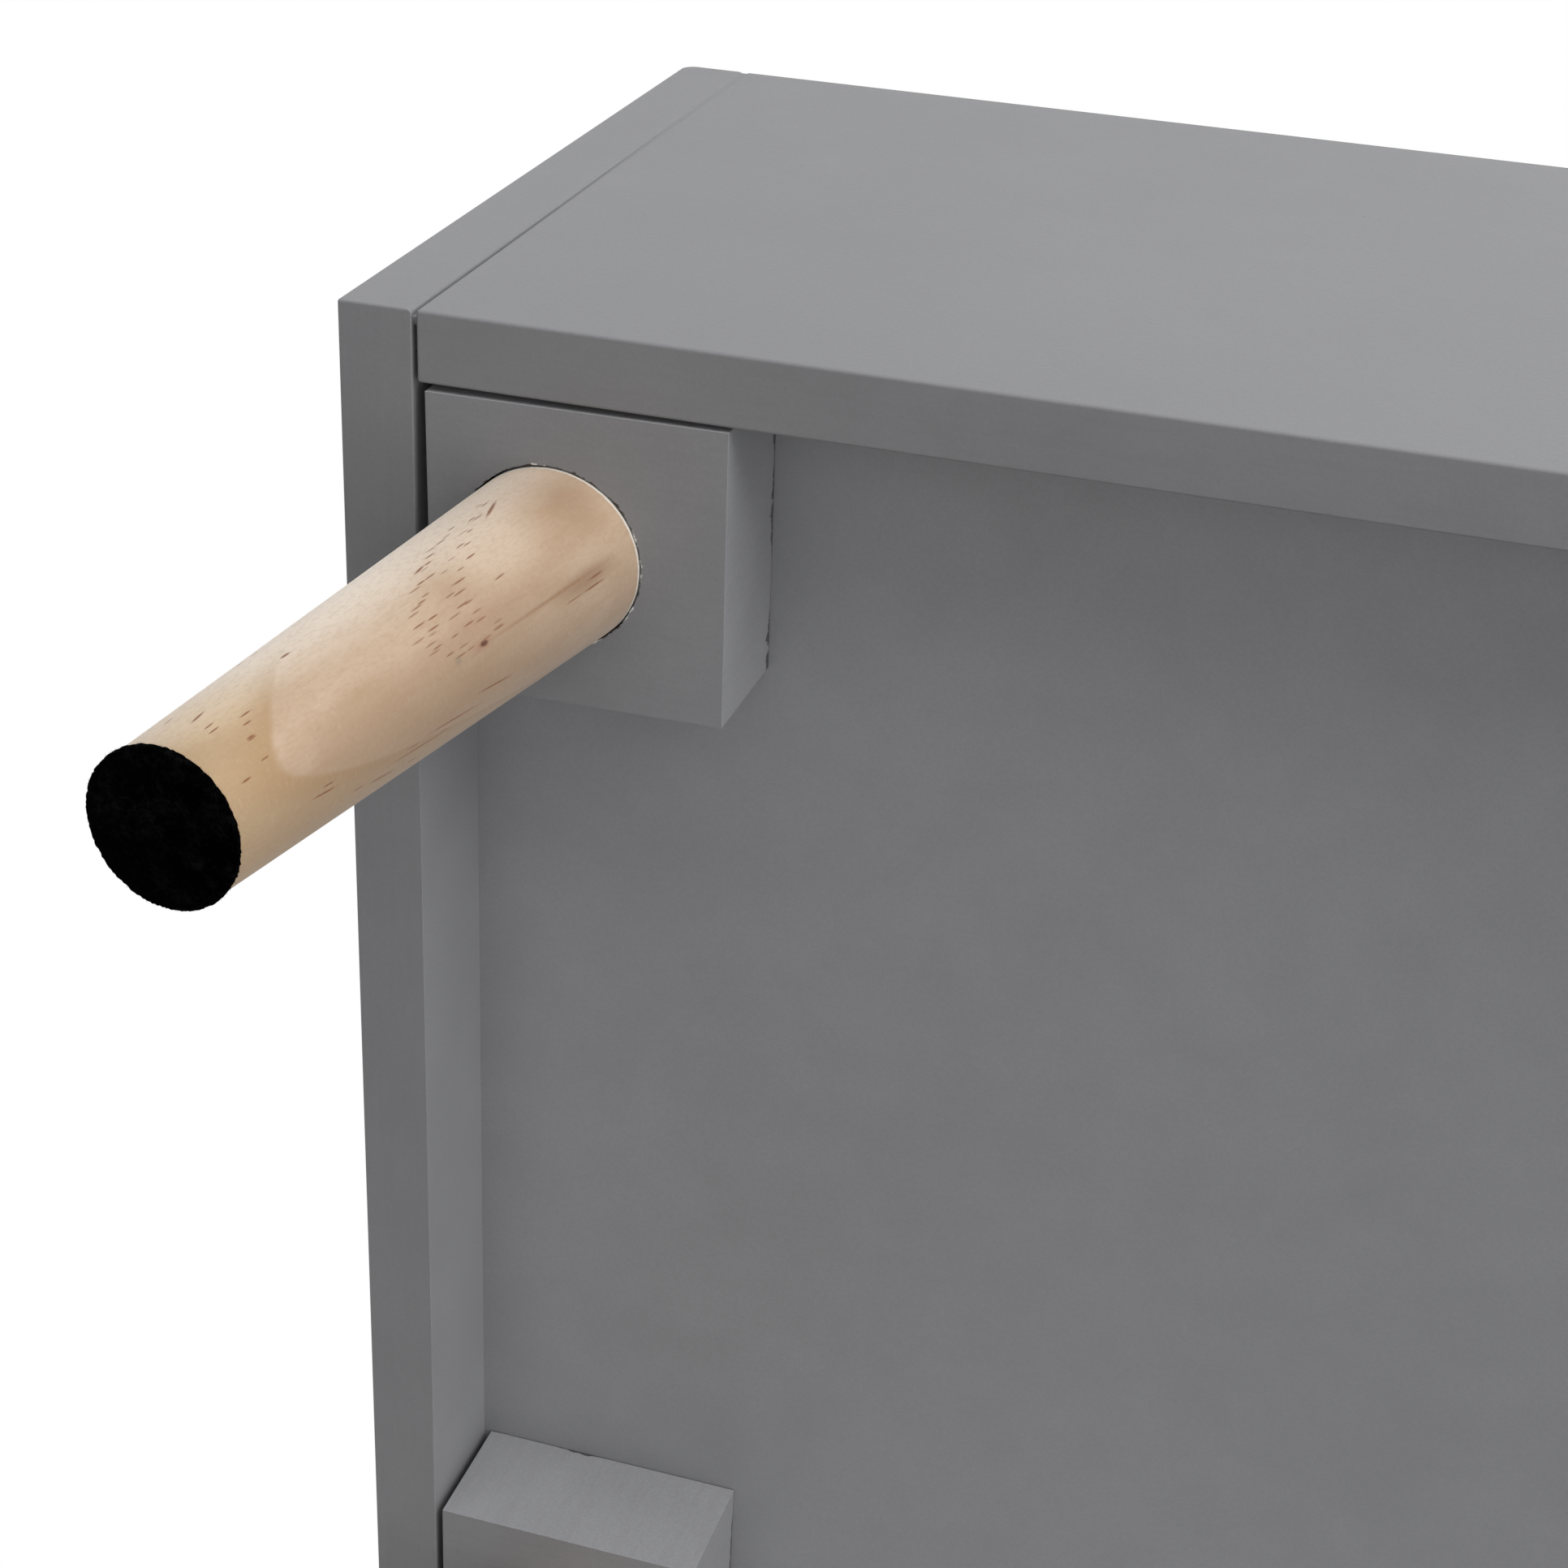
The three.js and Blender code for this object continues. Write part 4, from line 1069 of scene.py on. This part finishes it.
rubber = clear_rubber()
bumper_edge = 0.15 * mm
bumper_sides = 48
dome_steps = 9
for hand in ("left", "right"):
    low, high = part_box(f"{hand}_lid_bumper")
    middle = (low + high) / 2
    radius = (high.x - low.x) / 2
    tall = high.z - low.z
    dome = [(0, high.z), (radius - bumper_edge, high.z), (radius, high.z - bumper_edge)]
    for step in range(1, dome_steps + 1):
        angle = math.pi / 2 * step / dome_steps
        drop = bumper_edge + (tall - bumper_edge) * math.sin(angle)
        dome.append((radius * math.cos(angle), high.z - drop))
    bumper = spun(dome, bumper_sides)
    bmesh.ops.translate(bumper, vec=(middle.x, middle.y, 0), verts=bumper.verts[:])
    make_piece(f"{hand}_bumper_dome", bumper, "lid", [rubber], [f"{hand}_lid_bumper"])


# Hinges: steel butt hinges, nickel plated and satin, let into the back panel and the lid. Each
# leaf is held by three oval-headed screws.
def plated_steel(name, dull, bright, gloss, rolling):
    """Plated steel whose tone drifts a little, with fine lines along its rolling direction."""
    metal = Recipe(bpy.data.materials.new(name))
    place = object_place(metal)
    drift = metal.noise(place, 70, 3, 0.6)
    lines = metal.noise(metal.moved(place, scale=rolling), 1100, 3, 0.6)
    pits = metal.noise(place, 1900, 2, 0.6)
    colour = metal.blend(metal.rise(drift * 0.6 + lines * 0.4, 0.36, 0.62), dull, bright)
    colour = metal.blend(metal.rise(pits, 0.64, 0.76) * 0.15, colour, (0.2, 0.19, 0.18, 1))
    rough = gloss + (lines - 0.5) * 0.16 + (drift - 0.5) * 0.12
    skin = metal.bump(lines * 0.7 + pits * 0.3, 0.015 * mm)
    return metal.surface({"Base Color": colour, "Metallic": 1.0, "Roughness": rough, "Normal": skin})


def eased_copy(name, node, body, finish, arris):
    """A copy of a CAD solid with its flat faces whole again and its corners eased."""
    bm = bmesh.new()
    bm.from_mesh(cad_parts[node].data)
    weld(bm)
    flat = math.radians(1)
    bmesh.ops.dissolve_limit(bm, angle_limit=flat, verts=bm.verts[:], edges=bm.edges[:])
    make_piece(name, bm, body, [finish], [node], lambda edge: arris, arris, 2)


def drive_screw(name, place, out, body, radius, stand, slot, finish):
    """An oval-headed wood screw with a crossed recess. Its rim lies at place, and out points away
    from the surface that it is driven into."""
    length = 6 * mm
    point = 0.4 * mm
    shank = 1.6 * mm
    recess = 0.9 * mm
    inner = 0.62 * radius
    crown = 0.62 * stand
    profile = [
        (0, -length), (point, -length), (shank, -4 * mm), (shank, -radius * 0.5), (radius, -0.1 * mm),
        (radius, 0), (radius * 0.9, stand * 0.25), (radius * 0.76, stand * 0.46), (inner, crown),
    ]
    screw = spun(profile, screw_sides)
    rim = [edge for edge in screw.edges if edge.is_boundary]
    half = 0.1 * radius
    arm = 0.5 * radius
    quarter = [(arm, -half), (arm, half), (half, half)]
    cross = []
    for c, s in ((1, 0), (0, 1), (-1, 0), (0, -1)):
        cross += [(x * c - y * s, x * s + y * c, crown) for x, y in quarter]
    walls = ring_of(screw, cross)
    fill(screw, rim + walls)
    sunk = pull(screw, walls, (0, 0, -recess))
    bmesh.ops.scale(screw, vec=(0.6, 0.6, 1), verts=sunk)
    spin = Matrix.Rotation(turns.uniform(0, math.pi), 4, "Z")
    stood = out.to_track_quat("Z", "Y").to_matrix().to_4x4() @ spin
    carry(screw, Matrix.Translation(place) @ stood)
    make_piece(name, screw, body, [finish])


nickel = plated_steel("satin_nickel", (0.46, 0.45, 0.435, 1), (0.55, 0.54, 0.525, 1), 0.3, (0.04, 1, 1))
turns = random.Random("screws")
screw_sides = 32
hinge_screw = (3.3 * mm, 0.5 * mm, "hinge_steel", nickel)
hinge_screw_places = (-26 * mm, 0, 26 * mm)
knuckle = 6.4 * mm
leaf_arris = 0.18 * mm
pin_arris = 0.3 * mm
for hand in ("left", "right"):
    hinge = f"{hand}_hinge"
    eased_copy(f"{hinge}_panel_leaf", f"{hinge}_back_leaf", "chest", nickel, leaf_arris)
    eased_copy(f"{hinge}_upper_leaf", f"{hinge}_lid_leaf", "lid", nickel, leaf_arris)
    eased_copy(f"{hinge}_rod", f"{hinge}_pin", "chest", nickel, pin_arris)
    for leaf, body, out in (("back", "chest", 1), ("lid", "lid", -1)):
        low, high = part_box(f"{hinge}_{leaf}_leaf")
        row_y = (low.y + high.y - knuckle) / 2
        face_z = panel_top if leaf == "back" else lid_low.z
        for count, across in enumerate(hinge_screw_places, 1):
            place = Vector(((low.x + high.x) / 2 + across, row_y, face_z))
            drive_screw(f"{hinge}_{leaf}_screw_{count}", place, Vector((0, 0, out)), body, *hinge_screw)


# Lid stays: zinc-plated steel. A slotted arm hangs from a bracket under the lid and slides over
# a headed stud on the end panel, whose friction holds the lid where it is left.
zinc = plated_steel("zinc_plate", (0.4, 0.415, 0.435, 1), (0.54, 0.55, 0.555, 1), 0.36, (1, 0.05, 1))
stay_arris = 0.22 * mm
stay_screw = (3.6 * mm, 0.5 * mm, "zinc_steel", zinc)
rivet_arris = 0.4 * mm
wall_plate_thickness = 2.3 * mm
wall_screw_rise = 21 * mm
lid_plate_thickness = 2 * mm
lid_screw_step = 14 * mm
for side, hand in hands:
    stay = f"{hand}_stay"
    eased_copy(f"{stay}_wall_plate", f"{stay}_stud_plate", "chest", zinc, stay_arris)
    eased_copy(f"{stay}_slotted_arm", f"{stay}_arm", f"{stay}_arm", zinc, stay_arris)
    eased_copy(f"{stay}_lid_plate", f"{stay}_lid_bracket", "lid", zinc, stay_arris)
    eased_copy(f"{stay}_rivet", f"{stay}_pivot_rivet", "lid", zinc, rivet_arris)
    low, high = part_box(f"{stay}_stud_plate")
    wall = left_inside if side < 0 else right_inside
    middle = (low + high) / 2
    for count, up in enumerate((-wall_screw_rise, wall_screw_rise), 1):
        place = Vector((wall - side * wall_plate_thickness, middle.y, middle.z + up))
        drive_screw(f"{stay}_wall_screw_{count}", place, Vector((-side, 0, 0)), "chest", *stay_screw)
    low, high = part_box(f"{stay}_lid_bracket")
    middle = (low + high) / 2
    for count, along in enumerate((-lid_screw_step, lid_screw_step), 1):
        place = Vector((middle.x, middle.y + along, high.z - lid_plate_thickness))
        drive_screw(f"{stay}_lid_screw_{count}", place, Vector((0, 0, -1)), "lid", *stay_screw)


# Fixings of the carcass: beech dowels and zinc cams join the boards, and a bolt in a threaded
# insert draws each leg into its block. They are in their bores, so their CAD solids stay. The
# blocks are screwed from inside the chest, through the bottom board.
def beech_wood():
    """Plain beech: even straw brown with short dark rays along the grain."""
    wood = Recipe(bpy.data.materials.new("beech"))
    place = object_place(wood)
    grain = wood.noise(wood.moved(place, scale=(0.12, 1, 1)), 500, 3, 0.6)
    rays = wood.noise(wood.moved(place, scale=(0.3, 1, 1)), 1600, 1, 0.5)
    colour = wood.blend(wood.rise(grain, 0.35, 0.65), (0.46, 0.32, 0.19, 1), (0.6, 0.45, 0.29, 1))
    colour = wood.blend(wood.rise(rays, 0.62, 0.72) * 0.6, colour, (0.3, 0.18, 0.09, 1))
    rough = 0.62 + (grain - 0.5) * 0.1
    return wood.surface({"Base Color": colour, "Roughness": rough, "Normal": wood.bump(rays, 0.05 * mm)})


beech = beech_wood()
block_screw = (3.9 * mm, 0.35 * mm, "zinc_steel", zinc)
block_screw_step = Vector((27 * mm, 25 * mm))
for row, hand in corners:
    corner = f"{row}_{hand}"
    for fitting in ("cam", "cam_bolt", "leg_bolt", "leg_insert"):
        refinish(f"{corner}_{fitting}", zinc)
    for count in (1, 2):
        refinish(f"{corner}_dowel_{count}", beech)
    low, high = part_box(f"{corner}_leg_block")
    middle = (low + high) / 2
    for count, slant in enumerate((-1, 1), 1):
        spot = middle.to_2d() + slant * block_screw_step
        place = Vector((spot.x, spot.y, board_high.z))
        drive_screw(f"{corner}_block_screw_{count}", place, Vector((0, 0, 1)), "chest", *block_screw)
